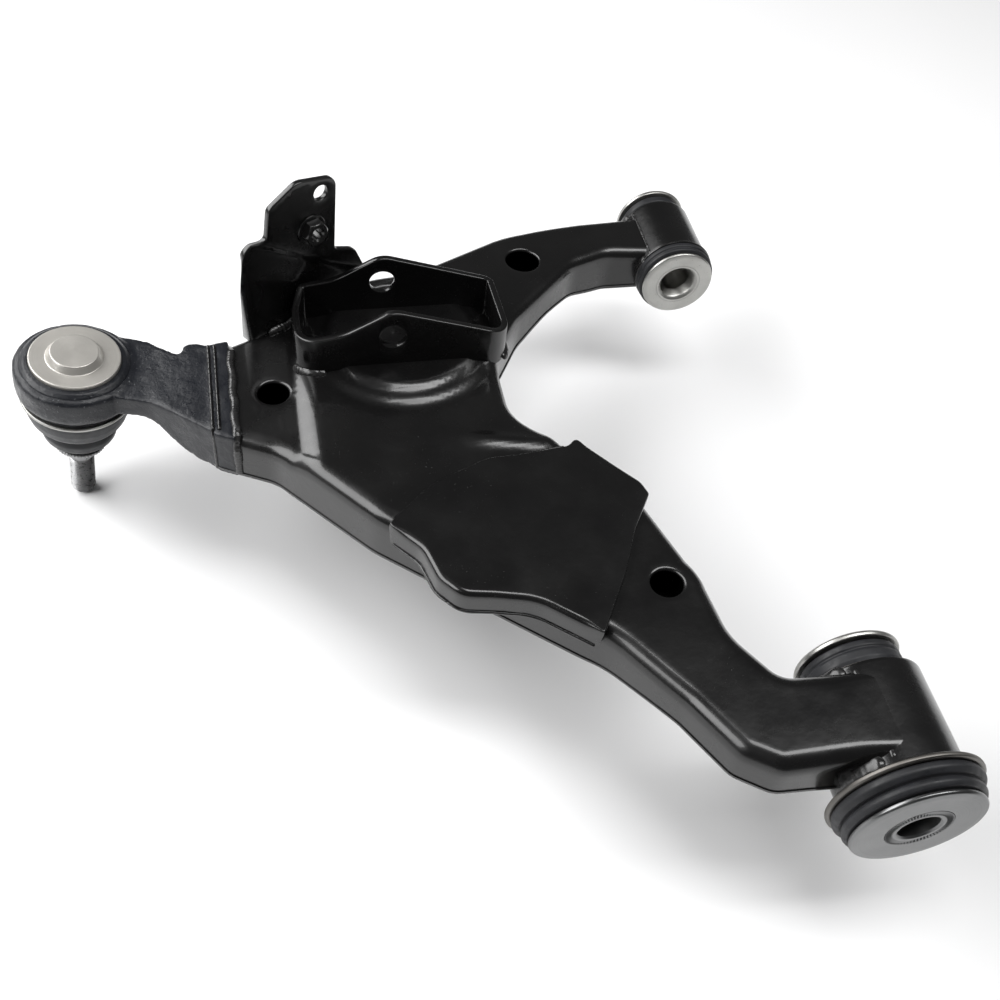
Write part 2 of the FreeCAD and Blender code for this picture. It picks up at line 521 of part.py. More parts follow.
def link_drill(label, along, height, radius):
    """A hole through the link bracket's sheet."""
    place = link_plane * Placement(Vector(along, height, -20), Rotation())
    return primitive("Cylinder", label, place, Radius=radius, Height="40")


link_hole = link_drill("link_hole", size("link_hole_along"), size("link_hole_z"), "link_hole_radius")
nut_hole = link_drill("nut_hole", size("nut_along"), size("nut_z"), "link_hole_radius")
link_drills = combined("Fuse", "link_drills", link_hole, nut_hole)
link_bracket = combined("Cut", "link_bracket", link_seated, link_drills)
nut_place = link_plane * Placement(Vector(size("nut_along"), size("nut_z"), 0), Rotation())
nut_blank = primitive("Prism", "nut_blank", nut_place, Circumradius="nut_radius * 1.1547",
                      Height="nut_height")
nut_tap = link_drill("nut_tap", size("nut_along"), size("nut_z"), "nut_thread_radius")
link_bracket_weld_nut = combined("Cut", "link_bracket_weld_nut", nut_blank, nut_tap)

# ---------------------------------------------------------------- check and write

PIECES = [
    upper_shell, lower_shell, reinforcement_plate, forged_end, shock_bracket, link_bracket,
    link_bracket_weld_nut, large_bush_housing, small_bush_housing, large_bush_outer_sleeve,
    large_bush_rubber, small_bush_outer_sleeve, small_bush_rubber, large_bush_inner_sleeve,
    large_bush_near_washer, large_bush_far_washer, small_bush_inner_sleeve, small_bush_near_washer,
    small_bush_far_washer, ball_joint_cover, preload_spring, upper_bearing_seat, lower_bearing_seat,
    boot_large_ring, dust_boot, boot_small_ring, ball_stud]

doc.recompute()
for feature in doc.Objects:
    if "Invalid" in feature.State or "Error" in feature.State:
        raise RuntimeError(f"{feature.Label} failed: {feature.State}")
for piece in PIECES:
    shape = piece.Shape
    if shape.isNull() or not shape.isValid() or shape.Volume <= 0:
        raise RuntimeError(f"{piece.Label} has no valid solid")

os.makedirs("parts", exist_ok=True)
for piece in PIECES:
    piece.Shape.exportStep(f"parts/{piece.Label}.step")
    print(piece.Label, len(piece.Shape.Solids), round(piece.Shape.Volume / 1000, 2), "cm3")
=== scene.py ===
import json
import math

import bmesh
import bpy
import numpy as np
from mathutils import Matrix, Vector, noise
from mathutils.geometry import delaunay_2d_cdt


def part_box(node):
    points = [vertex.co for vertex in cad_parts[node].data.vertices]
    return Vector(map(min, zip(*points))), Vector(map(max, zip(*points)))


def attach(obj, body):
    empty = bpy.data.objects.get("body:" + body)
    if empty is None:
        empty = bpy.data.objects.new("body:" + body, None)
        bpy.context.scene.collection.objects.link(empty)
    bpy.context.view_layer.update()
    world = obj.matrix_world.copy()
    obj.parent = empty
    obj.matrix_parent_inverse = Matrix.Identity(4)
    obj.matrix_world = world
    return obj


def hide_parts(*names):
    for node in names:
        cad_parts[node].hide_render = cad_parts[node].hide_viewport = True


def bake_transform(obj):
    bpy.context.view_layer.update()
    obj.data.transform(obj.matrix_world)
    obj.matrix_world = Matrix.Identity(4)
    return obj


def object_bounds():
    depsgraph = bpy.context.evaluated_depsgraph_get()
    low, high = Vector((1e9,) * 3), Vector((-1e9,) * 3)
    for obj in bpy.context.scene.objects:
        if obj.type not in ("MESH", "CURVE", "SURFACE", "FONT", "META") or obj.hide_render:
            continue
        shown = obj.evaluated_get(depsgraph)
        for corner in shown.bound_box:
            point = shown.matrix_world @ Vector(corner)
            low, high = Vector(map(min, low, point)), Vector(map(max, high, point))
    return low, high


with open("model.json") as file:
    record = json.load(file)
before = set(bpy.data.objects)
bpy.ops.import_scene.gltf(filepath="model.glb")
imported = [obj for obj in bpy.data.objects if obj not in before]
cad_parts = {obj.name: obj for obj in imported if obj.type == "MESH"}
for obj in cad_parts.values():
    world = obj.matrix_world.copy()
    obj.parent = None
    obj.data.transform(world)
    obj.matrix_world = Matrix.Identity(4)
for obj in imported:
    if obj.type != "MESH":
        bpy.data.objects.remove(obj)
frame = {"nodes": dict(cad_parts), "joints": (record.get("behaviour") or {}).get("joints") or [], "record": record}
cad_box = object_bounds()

MM = 0.001
JOINTS = {joint["name"]: joint for joint in frame["joints"]}
MOUNTS = {mount["name"]: mount for mount in frame["record"]["mounts"]}


def mount_size(name, measure="r_mm"):
    """A measure of a mount in millimetres, its radius unless told otherwise."""
    return MOUNTS[name]["dims"][measure]


ALONG = Vector((1, 0, 0))
PIVOT = Vector((0, 1, 0))
UP = Vector((0, 0, 1))
ORIGIN = Vector((0, 0, 0))


def in_mm(metres):
    """A position of the record as a vector in millimetres."""
    return Vector(metres) / MM


# ---- places

BALL_UP = Vector(JOINTS["ball_joint_spin"]["axis"]).normalized()
BALL_SIDE = Vector(JOINTS["ball_joint_swing_x"]["axis"]).normalized()
BALL_CENTRE = in_mm(JOINTS["ball_joint_spin"]["pos_m"])
BALL_DEPTH = 19
COVER_FACE = BALL_CENTRE + BALL_UP * BALL_DEPTH


def axes(origin, x_axis, z_axis):
    """The place whose Z and X axes point along the given directions."""
    y_axis = z_axis.cross(x_axis)
    turn = Matrix((x_axis, y_axis, z_axis)).transposed()
    return Matrix.Translation(origin) @ turn.to_4x4()


LARGE_BUSH = axes(in_mm(JOINTS["large_bush_twist"]["pos_m"]), ALONG, PIVOT)
SMALL_BUSH = axes(in_mm(JOINTS["small_bush_twist"]["pos_m"]), ALONG, PIVOT)
BALL_JOINT = axes(COVER_FACE, BALL_SIDE, BALL_UP)
SMALL_BUSH_Y = SMALL_BUSH.translation.y

# ---- materials


def new_material(name, **sockets):
    """A Principled material; sockets are set by name, with _ for a space."""
    made = bpy.data.materials.new(name)
    made.use_nodes = True
    shader = made.node_tree.nodes["Principled BSDF"]
    for socket, value in sockets.items():
        shader.inputs[socket.replace("_", " ")].default_value = value
    return made, shader


def feed(made, socket, value):
    """Gives a socket a value, or a link from another node."""
    if isinstance(value, bpy.types.NodeSocket):
        made.node_tree.links.new(value, socket)
    else:
        socket.default_value = value


def add(made, kind, sockets=(), **settings):
    """A node in a material, with settings and socket values or links."""
    node = made.node_tree.nodes.new(kind)
    for name, value in settings.items():
        setattr(node, name, value)
    for name, value in dict(sockets).items():
        feed(made, node.inputs[name], value)
    return node


def place_of(made):
    return add(made, "ShaderNodeTexCoord").outputs["Object"]


def grain(made, scale, detail=3, roughness=0.55):
    """Noise with features about 1/scale metres across."""
    return add(made, "ShaderNodeTexNoise", {"Vector": place_of(made), "Scale": scale, "Detail": detail,
        "Roughness": roughness}).outputs["Fac"]


def stretched(made, value, low, high, to_low, to_high):
    """A value's stretch from low..high to to_low..to_high, clamped."""
    return add(made, "ShaderNodeMapRange", {"Value": value, "From Min": low, "From Max": high,
        "To Min": to_low, "To Max": to_high}).outputs["Result"]


def blended(made, share, first, second):
    """A colour between two colours."""
    first, second = ((*colour, 1) if isinstance(colour, tuple) else colour for colour in (first, second))
    return add(made, "ShaderNodeMix", {0: share, 6: first, 7: second}, data_type="RGBA").outputs[2]


def summed(made, first, second, operation="ADD"):
    return add(made, "ShaderNodeMath", {0: first, 1: second}, operation=operation).outputs[0]


def dressed(made, shader, colour, gloss, height=None, depth=0):
    """A material with its colour, its roughness, and bumps that are a depth in metres high."""
    made.node_tree.links.new(colour, shader.inputs["Base Color"])
    made.node_tree.links.new(gloss, shader.inputs["Roughness"])
    if height:
        bump = add(made, "ShaderNodeBump", {"Height": height, "Distance": depth, "Strength": 1.0})
        made.node_tree.links.new(bump.outputs["Normal"], shader.inputs["Normal"])
    return made


def axis_distance(made, origin, direction):
    """The distance from an axis, in metres."""
    offset = add(made, "ShaderNodeVectorMath", {0: place_of(made), 1: origin * MM}, operation="SUBTRACT")
    cross = add(made, "ShaderNodeVectorMath", {0: offset.outputs[0], 1: direction}, operation="CROSS_PRODUCT")
    return add(made, "ShaderNodeVectorMath", {0: cross.outputs[0]}, operation="LENGTH").outputs["Value"]


def gloss_paint():
    """Black dip paint: glossy, faintly wavy, with dust specks and hairline scuffs."""
    made, shader = new_material("gloss_black_paint", Specular_IOR_Level=0.45, Coat_Weight=0.35,
        Coat_Roughness=0.09)
    tone = blended(made, grain(made, 18), (0.0022, 0.0022, 0.0025), (0.0046, 0.0044, 0.0042))
    specks = stretched(made, grain(made, 1400, 2), 0.735, 0.76, 0, 1)
    patches = stretched(made, grain(made, 22, 4), 0.5, 0.68, 0, 1)
    dust = summed(made, specks, patches, "MULTIPLY")
    colour = blended(made, dust, tone, (0.16, 0.16, 0.155))
    gloss = stretched(made, grain(made, 35, 5), 0.3, 0.7, 0.2, 0.33)
    gloss = summed(made, gloss, stretched(made, dust, 0, 1, 0, 0.4))
    peel = summed(made, grain(made, 260, 2), stretched(made, grain(made, 45, 2), 0, 1, 0, 1.6))
    return dressed(made, shader, colour, gloss, summed(made, peel, dust), 0.00007)


def speckled(name, tones, cloud, gloss, skin=(0,), fleck=None, **sockets):
    """A clouded material. cloud, gloss and fleck begin with a grain's scale and detail, then say how it
    is stretched; skin is the depth of the bumps and the scale and detail of each grain in them."""
    made, shader = new_material(name, **sockets)
    share = grain(made, *cloud[:2])
    if cloud[2:]:
        share = stretched(made, share, *cloud[2:], 0, 1)
    colour = blended(made, share, *tones)
    if fleck:
        spots = stretched(made, grain(made, *fleck[:2]), *fleck[2:4], 0, 1)
        colour = blended(made, spots, colour, fleck[4])
    roughness = stretched(made, grain(made, *gloss[:2]), 0.3, 0.7, *gloss[2:])
    height = None
    for part in skin[1:]:
        height = summed(made, height, grain(made, *part)) if height else grain(made, *part)
    return dressed(made, shader, colour, roughness, height, skin[0])


def weld_paint():
    """The same paint over a weld bead, with fine spatter."""
    return speckled("painted_weld", ((0.005, 0.005, 0.0055), (0.015, 0.0145, 0.014)), (300, 5),
        (240, 4, 0.16, 0.42), (0.00014, (600, 4)), Specular_IOR_Level=0.5, Coat_Weight=0.2,
        Coat_Roughness=0.1)


def forging_paint():
    """Satin blue-black paint on a forging, rough, with chips along its upper rim."""
    made, shader = new_material("satin_forging_paint", Specular_IOR_Level=0.38)
    tone = blended(made, grain(made, 60, 5), (0.006, 0.0068, 0.0095), (0.0125, 0.0138, 0.0175))
    distance = axis_distance(made, COVER_FACE, BALL_UP)
    rim = stretched(made, distance, 0.0268, 0.0322, 0, 1)
    beyond = stretched(made, distance, 0.033, 0.038, 1, 0)
    flecks = stretched(made, grain(made, 750, 4, 0.7), 0.64, 0.68, 0, 1)
    chips = summed(made, summed(made, rim, beyond, "MULTIPLY"), flecks, "MULTIPLY")
    colour = blended(made, chips, tone, (0.2, 0.21, 0.22))
    gloss = stretched(made, grain(made, 150, 5), 0.3, 0.7, 0.24, 0.44)
    rough = summed(made, grain(made, 420, 5, 0.65), stretched(made, grain(made, 90, 3), 0, 1, 0, 1.5))
    height = summed(made, rough, stretched(made, chips, 0, 1, 0, -0.6))
    return dressed(made, shader, colour, gloss, height, 0.00032)


def plated_steel():
    """Zinc-plated steel: pale, slightly blotchy, with fine grit."""
    return speckled("plated_steel", ((0.30, 0.295, 0.28), (0.5, 0.5, 0.48)), (55, 5), (130, 5, 0.3, 0.46),
        (0.00004, (1500, 4)), (1300, 3, 0.66, 0.72, (0.2, 0.19, 0.18)), Metallic=1.0,
        Anisotropic=0.2)


def turned_steel(name, origin, direction, metallic, dark, light, rings, low, high):
    """Bare steel with turning marks around an axis; rings is the number of marks in a metre."""
    made, shader = new_material(name, Metallic=metallic, Anisotropic=0.4)
    distance = axis_distance(made, origin, direction)
    marks = add(made, "ShaderNodeTexNoise", {"W": distance, "Scale": rings, "Detail": 4.0, "Roughness": 0.7},
        noise_dimensions="1D").outputs["Fac"]
    cloud = grain(made, 70, 4)
    colour = blended(made, summed(made, marks, cloud, "MULTIPLY"), dark, light)
    gloss = stretched(made, marks, 0.3, 0.7, low, high)
    height = summed(made, marks, stretched(made, grain(made, 1200, 2), 0, 1, 0, 0.4))
    return dressed(made, shader, colour, gloss, height, 0.00003)


def stud_steel():
    """Grey phosphated steel with grime in it."""
    return speckled("stud_steel", ((0.16, 0.16, 0.165), (0.42, 0.42, 0.42)), (190, 5), (350, 4, 0.32, 0.6),
        (0.00006, (1100, 4)), (420, 4, 0.56, 0.66, (0.07, 0.07, 0.068)), Metallic=0.9)


def rubber(name, tone, sheen):
    """Moulded black rubber with a dusty bloom and a fine skin."""
    return speckled(name, (tone, tuple(1.9 * part for part in tone)), (75, 5, 0.4, 0.72), (210, 4, 0.4, 0.62),
        (0.00005, (700, 4), (2600, 2)), (1500, 2, 0.74, 0.77, (0.1, 0.1, 0.1)),
        Specular_IOR_Level=0.42, Sheen_Weight=sheen, Sheen_Roughness=0.5)


def resin():
    """Pale bearing resin with moulding marks."""
    return speckled("bearing_resin", ((0.62, 0.6, 0.54), (0.7, 0.69, 0.63)), (120, 3), (300, 3, 0.35, 0.5),
        (0.00003, (800, 3)), Subsurface_Weight=0.05)


def pale_floor():
    """A matt, nearly white floor."""
    return speckled("pale_floor", ((0.88, 0.88, 0.885), (0.9, 0.9, 0.9)), (3, 2), (9, 3, 0.7, 0.85),
        Specular_IOR_Level=0.1)


PAINT = gloss_paint()
WELD_PAINT = weld_paint()
FORGING_PAINT = forging_paint()
PLATED = plated_steel()
COVER_STEEL = turned_steel("turned_cover_steel", COVER_FACE, BALL_UP, 0.6, (0.42, 0.405, 0.375),
    (0.66, 0.64, 0.6), 2600.0, 0.28, 0.42)
WASHER_STEEL = turned_steel("turned_washer_steel", ORIGIN, PIVOT, 1.0,
    (0.15, 0.152, 0.154), (0.3, 0.302, 0.3), 1500.0, 0.28, 0.42)
FLANGE_STEEL = turned_steel("dull_flange_steel", ORIGIN, PIVOT, 1.0,
    (0.1, 0.096, 0.09), (0.27, 0.255, 0.235), 900.0, 0.3, 0.48)
STUD_STEEL = stud_steel()
BUSH_RUBBER = rubber("bush_rubber", (0.0065, 0.0069, 0.0085), 0.03)
BOOT_RUBBER = rubber("boot_rubber", (0.011, 0.0116, 0.0136), 0.1)
RESIN = resin()

# ---- mesh tools


def rounded(corners, step, closed=True):
    """Points every step or so along an outline whose corners are (x, y, radius)."""
    count = len(corners)
    points = [Vector(corner[:2]) for corner in corners]
    made = []
    for i, corner in enumerate(corners):
        here = points[i]
        radius = corner[2] if len(corner) > 2 else 0
        if radius == 0 or (not closed and i in (0, count - 1)):
            made.append(here)
            continue
        back = points[i - 1] - here
        ahead = points[(i + 1) % count] - here
        half = back.angle(ahead) / 2
        reach = min(radius / math.tan(half), 0.49 * back.length, 0.49 * ahead.length)
        bisector = (back.normalized() + ahead.normalized()).normalized()
        centre = here + bisector * (reach / math.cos(half))
        start = here + back.normalized() * reach - centre
        end = here + ahead.normalized() * reach - centre
        sweep = -start.angle_signed(end)
        pieces = max(2, math.ceil(abs(sweep) * start.length / step))
        made.extend(centre + Matrix.Rotation(sweep * k / pieces, 2) @ start for k in range(pieces + 1))
    dense = []
    last = len(made) if closed else len(made) - 1
    for i in range(last):
        a, b = made[i], made[(i + 1) % len(made)]
        pieces = max(1, math.ceil((b - a).length / step))
        dense.extend(a.lerp(b, k / pieces) for k in range(pieces))
    if not closed:
        dense.append(made[-1])
    return dense


def flat_loop(*outline, **ways):
    """A rounded outline as an array of x and y."""
    return np.array([tuple(point) for point in rounded(*outline, **ways)])


def placed(name, data):
    """A new object in the scene."""
    piece = bpy.data.objects.new(name, data)
    bpy.context.scene.collection.objects.link(piece)
    return piece


def mesh_piece(name, points, faces, made, sharp=35, outward=True):
    """A smooth-shaded object from points in millimetres."""
    mesh = bpy.data.meshes.new(name)
    mesh.from_pydata([Vector(point) * MM for point in points], [], faces)
    if outward:
        work = bmesh.new()
        work.from_mesh(mesh)
        bmesh.ops.recalc_face_normals(work, faces=work.faces)
        work.to_mesh(mesh)
        work.free()
    mesh.materials.append(made)
    piece = placed(name, mesh)
    smooth(piece, sharp)
    return piece


def smooth(piece, sharp):
    piece.data.shade_smooth()
    piece.data.set_sharp_from_angle(angle=math.radians(sharp))


def apply_modifiers(piece):
    """Replaces a piece's mesh by what its modifiers make of it."""
    bpy.context.view_layer.update()
    graph = bpy.context.evaluated_depsgraph_get()
    mesh = bpy.data.meshes.new_from_object(piece.evaluated_get(graph))
    piece.modifiers.clear()
    piece.data = mesh


def settle(piece, body, slot, *nodes):
    """Lets a finished piece ride on a body and stand for CAD nodes; slot is not used."""
    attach(piece, body)
    if nodes:
        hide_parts(*nodes)
    return piece


def lathe(name, place, corners, made, closed=True, segments=160, step=0.7, shape=None, sharp=35):
    """A turned piece. Corners are (radius, height, corner radius); shape may shift (radius, height, turn)."""
    profile = rounded(corners, step, closed)
    rows, points, faces = [], [], []
    for corner in profile:
        if corner.x < 1e-6:
            rows.append([len(points)] * segments)
            points.append(place @ Vector((0, 0, corner.y)))
            continue
        rows.append(list(range(len(points), len(points) + segments)))
        for k in range(segments):
            turn = math.tau * k / segments
            radius, height = shape(corner.x, corner.y, turn) if shape else (corner.x, corner.y)
            points.append(place @ Vector((radius * math.cos(turn), radius * math.sin(turn), height)))
    pairs = list(zip(rows, rows[1:]))
    if closed:
        pairs.append((rows[-1], rows[0]))
    for lower, upper in pairs:
        for k in range(segments):
            after = (k + 1) % segments
            ring = [lower[k], lower[after], upper[after], upper[k]]
            face = list(dict.fromkeys(ring))
            if len(face) > 2:
                faces.append(face)
    return mesh_piece(name, points, faces, made, sharp)


def turned(name, place, corners, made, body, slot, *nodes, **ways):
    """A turned piece that rides on a body."""
    return settle(lathe(name, place, corners, made, **ways), body, slot, *nodes)


def strip(faces, first, second, count):
    """Joins two closed rings of points by quads."""
    for i in range(count):
        after = (i + 1) % count
        faces.append((first + i, first + after, second + after, second + i))


def stack(faces, start, count, rows):
    """Joins each of a stack of closed rings to the next."""
    for first in range(start, start + (rows - 1) * count, count):
        strip(faces, first, first + count, count)


def within(points, loop):
    """Which of the points lie inside a closed loop."""
    inside = np.zeros(len(points), bool)
    x, y = points[:, 0], points[:, 1]
    for (x0, y0), (x1, y1) in zip(loop, np.roll(loop, -1, axis=0)):
        crosses = (y0 > y) != (y1 > y)
        if y1 != y0:
            inside ^= crosses & (x < (x1 - x0) * (y - y0) / (y1 - y0) + x0)
    return inside


def lattice(loops, spacing):
    """Staggered points inside the first loop and outside the others."""
    low, high = loops[0].min(axis=0), loops[0].max(axis=0)
    rows = np.arange(low[1], high[1], spacing * math.sqrt(3) / 2)
    points = np.array([(x + (k % 2) * spacing / 2, y) for k, y in enumerate(rows)
        for x in np.arange(low[0], high[0], spacing)])
    keep = within(points, loops[0])
    for loop in loops[1:]:
        keep &= ~within(points, loop)
    points = points[keep]
    gap = np.full(len(points), 1e9)
    for border in np.vstack(loops):
        gap = np.minimum(gap, np.hypot(*(points - border).T))
    return points[gap > 0.55 * spacing]


def filled(loops, spacing):
    """Extra points between the loops where a spacing is given, and triangles over all the points."""
    extra = lattice(loops, spacing) if spacing else np.zeros((0, 2))
    border = np.vstack(loops)
    edges, start = [], 0
    for loop in loops:
        edges.extend((start + i, start + (i + 1) % len(loop)) for i in range(len(loop)))
        start += len(loop)
    everything = [Vector(point) for point in np.vstack([border, extra])]
    _, _, triangles, origins, _, _ = delaunay_2d_cdt(everything, edges, [], 1, 1e-5)
    first = [origin[0] for origin in origins]
    kept = [tuple(first[i] for i in triangle) for triangle in triangles]
    centres = np.array([[sum(everything[i][k] for i in face) / 3 for k in (0, 1)] for face in kept])
    good = np.ones(len(kept), bool)
    for loop in loops[1:]:
        good &= ~within(centres, loop)
    return extra, [face for face, fine in zip(kept, good) if fine]


def inward(loop):
    """Unit normals that point to the left of a closed loop."""
    along = np.roll(loop, -1, axis=0) - np.roll(loop, 1, axis=0)
    along /= np.hypot(*along.T)[:, None]
    return np.column_stack([-along[:, 1], along[:, 0]])


def ease(share):
    """A smooth step from 0 to 1."""
    share = np.clip(share, 0, 1)
    return share * share * (3 - 2 * share)


def circle(x, y, radius, count=56):
    turns = np.arange(count) * math.tau / count
    return np.column_stack([x + radius * np.cos(turns), y + radius * np.sin(turns)])


def pressing(name, loop, top, foot, fillet, made, holes=(), lean=0.035, spacing=2.8, thickness=3.0, sink=1):
    """A pressed sheet: a face at top(x, y), a fillet round it and a skirt down to foot.

    fillet and foot are numbers for each point of the loop. A sink of -1 presses it downwards.
    """
    normals = inward(loop)
    crest = top(*(loop + normals * fillet[:, None]).T)
    depth = np.maximum(crest - fillet - foot, 0.05)
    rings = [(share * lean * depth, foot + share * depth) for share in (0, 0.25, 0.5, 0.75, 1)]
    rings += [(lean * depth + fillet * (1 - math.cos(angle)), crest - fillet + fillet * math.sin(angle))
        for angle in np.radians((12, 24, 36, 48, 60, 72, 82, 90))]
    points, faces = [], []
    for inset, height in rings:
        points.extend(np.column_stack([loop + normals * inset[:, None], height]))
    count = len(loop)
    stack(faces, 0, count, len(rings))
    inner = (len(rings) - 1) * count
    last = np.array([point[:2] for point in points[inner:]])
    rims = [circle(x, y, radius + 1.8) for x, y, radius in holes]
    extra, triangles = filled([last] + rims, spacing)
    slots = list(range(inner, inner + count))
    for (x, y, radius), rim in zip(holes, rims):
        start = len(points)
        slots.extend(range(start, start + len(rim)))
        for grow, drop in ((1.8, 0), (0.8, 0.25), (0.2, 0.8), (0, 1.6)):
            ring = circle(x, y, radius + grow)
            points.extend(np.column_stack([ring, top(*ring.T) - drop]))
        stack(faces, start, len(rim), 4)
    slots.extend(range(len(points), len(points) + len(extra)))
    if len(extra):
        points.extend(np.column_stack([extra, top(*extra.T)]))
    faces.extend(tuple(slots[i] for i in face) for face in triangles)
    if sink < 0:
        points = [(x, y, -z) for x, y, z in points]
        faces = [face[::-1] for face in faces]
    piece = mesh_piece(name, points, faces, made, outward=False)
    solid = piece.modifiers.new("sheet", "SOLIDIFY")
    solid.thickness = thickness * MM
    solid.offset = -1
    apply_modifiers(piece)
    smooth(piece, 50)
    return piece


def slab(name, loops, thickness, edge, place, made, spacing=0):
    """A sheet cut to an outline with holes. place(a, b, n) puts a point of it in the part's frame."""
    loops = [np.array([tuple(point) for point in loop]) for loop in loops]
    section = [(edge - edge * math.sin(t), -edge + edge * math.cos(t)) for t in np.radians((0, 30, 60, 90))]
    section += [(inset, -thickness - height) for inset, height in section[::-1]]
    points, faces, fronts, backs = [], [], [], []
    for number, loop in enumerate(loops):
        normals = inward(loop) * (1 if number == 0 else -1)
        start = len(points)
        for inset, height in section:
            points.extend((*point, height) for point in loop + normals * inset)
        stack(faces, start, len(loop), len(section))
        fronts.append(range(start, start + len(loop)))
        backs.append(range(start + (len(section) - 1) * len(loop), start + len(section) * len(loop)))
    borders = [np.array([points[i][:2] for i in ring]) for ring in fronts]
    extra, triangles = filled(borders, spacing)
    for rings, height in ((fronts, 0), (backs, -thickness)):
        slots = [i for ring in rings for i in ring]
        slots.extend(range(len(points), len(points) + len(extra)))
        points.extend((*point, height) for point in extra)
        faces.extend(tuple(slots[i] for i in face) for face in triangles)
    return mesh_piece(name, [place(*point) for point in points], faces, made)


def bead(name, path, normals, width, height, pitch=2.3, made=WELD_PAINT):
    """A rippled weld bead along a path on a surface."""
    lengths = [0]
    for a, b in zip(path, path[1:]):
        lengths.append(lengths[-1] + (b - a).length)
    total = lengths[-1]
    count = max(8, int(total / 0.45))
    points, faces, arc = [], [], 13
    for i in range(count + 1):
        along = total * i / count
        k = min(np.searchsorted(lengths, along, side="right") - 1, len(path) - 2)
        share = (along - lengths[k]) / max(lengths[k + 1] - lengths[k], 1e-9)
        here = path[k].lerp(path[k + 1], share)
        up = normals[k].lerp(normals[k + 1], share).normalized()
        ahead = (path[min(k + 2, len(path) - 1)] - path[max(k - 1, 0)]).normalized()
        across = ahead.cross(up).normalized()
        end = min(along, total - along) / (1.1 * width)
        swell = math.sqrt(max(1 - (1 - min(end, 1)) ** 2, 0.0004))
        wobble = 1 + 0.16 * noise.noise(here * 0.14) + 0.08 * noise.noise(here * 0.6)
        for j in range(arc):
            tilt = math.radians(-104 + 208 * j / (arc - 1))
            side = math.sin(tilt)
            phase = (along + 0.9 * side * side * pitch) / pitch
            ripple = 0.13 * height * abs(math.sin(math.pi * phase)) ** 0.6
            lift = (height * swell * wobble + ripple) * math.cos(tilt)
            points.append(here + across * (side * width * swell * wobble) + up * lift)
    stack(faces, 0, arc, count + 1)
    faces.append(tuple(range(arc)))
    faces.append(tuple(range(count * arc, (count + 1) * arc))[::-1])
    return settle(mesh_piece(name, points, faces, made, 60), "arm", "black_paint")


# ---- surfaces of the pressed body

NECK_TOP = 19.6
BODY_TOP = 24
LEG_TOP = 21
LARGE_TUBE_TOP = 30.2
SMALL_TUBE_TOP = 15
BODY_FOOT = -9
LEG_FOOT = -3
LARGE_TUBE_FOOT = 0
SMALL_TUBE_FOOT = -13
STEP_X = -253
STEP_RUN = 11
LEG_X = -95
FORK_Y = 200
DOME = (-190, 275)
LAP = 3.4


def far_share(y):
    """0 on the near leg, 1 on the far leg."""
    return ease((y - FORK_Y + 45) / 90)


def top_height(x, y):
    """The height of the upper shell's face."""
    x, y = np.asarray(x, float), np.asarray(y, float)
    climb = np.clip((x - STEP_X) / STEP_RUN, 0, 1)
    height = NECK_TOP + (BODY_TOP - NECK_TOP) * np.sin(climb * math.pi / 2)
    height = height - 3 * np.clip((x - STEP_X) / (LEG_X - STEP_X), 0, 1)
    tube = LARGE_TUBE_TOP + (SMALL_TUBE_TOP - LARGE_TUBE_TOP) * far_share(y)
    height = height + (tube - LEG_TOP) * ease((x - LEG_X) / (2 - LEG_X))
    reach = np.hypot(x - DOME[0], y - DOME[1])
    height = height + (25.2 - height) * ease((55 - reach) / 7) + 2.8 * ease((46.5 - reach) / 6)
    swell = (x + 150) * 0.18 + (y - 191.5)
    height = height + 2.4 * np.exp(-(swell / 5) ** 2) * ease((x + 176) / 24) * ease((-112 - x) / 14)
    hollow = ((x + 193) / 17) ** 2 + ((y - 186) / 9) ** 2
    return height - 1.3 * np.exp(-hollow)


def foot_height(x, y):
    """The height of the arm's lower face."""
    x, y = np.asarray(x, float), np.asarray(y, float)
    height = BODY_FOOT + (LEG_FOOT - BODY_FOOT) * ease((x + 132) / 42)
    tube = LARGE_TUBE_FOOT + (SMALL_TUBE_FOOT - LARGE_TUBE_FOOT) * far_share(y)
    return height + (tube - LEG_FOOT) * ease((x + 100) / 60)


ARM_OUTLINE = [
    (-301, 216.5, 11), (-268, 200, 25), (-222, 147, 60), (-120, 61, 60), (-94, 23, 40), (-78, -7, 14),
    (-62, -19, 14), (-6, -23, 60), (13, -23, 10.5), (13, 24, 10.5), (-6, 24, 60), (-45, 28.6, 12),
    (-60.5, 56, 40), (-64, 88, 40), (-83, 152, 30), (-110, 184, 20), (-137, 214, 28), (-137, 258, 35),
    (-117, 291, 40), (-72, 337, 30), (-46, 349, 20), (-6, 349, 60), (13, 349, 10.5), (13, 392, 10.5),
    (-6, 392, 60), (-60, 382, 60), (-115, 369, 80), (-165, 343, 80), (-222, 326, 60), (-262, 298, 40),
    (-301, 280, 11)]
HOLES = [(-265, 243, 8.6), (-104.5, 342, 10.4), (-84.5, 88.5, 8.2)]
TUBES = [(0, 30.4), (SMALL_BUSH_Y, 23.6)]


def hold_off_tubes(piece):
    """Moves points that would lie inside a bush tube back to its skin."""
    for vertex in piece.data.vertices:
        x, y, z = vertex.co / MM
        centre, radius = min(TUBES, key=lambda tube: abs(tube[0] - y))
        if abs(z) < radius and abs(y - centre) < 40:
            vertex.co.x = min(x, -math.sqrt(radius * radius - z * z)) * MM


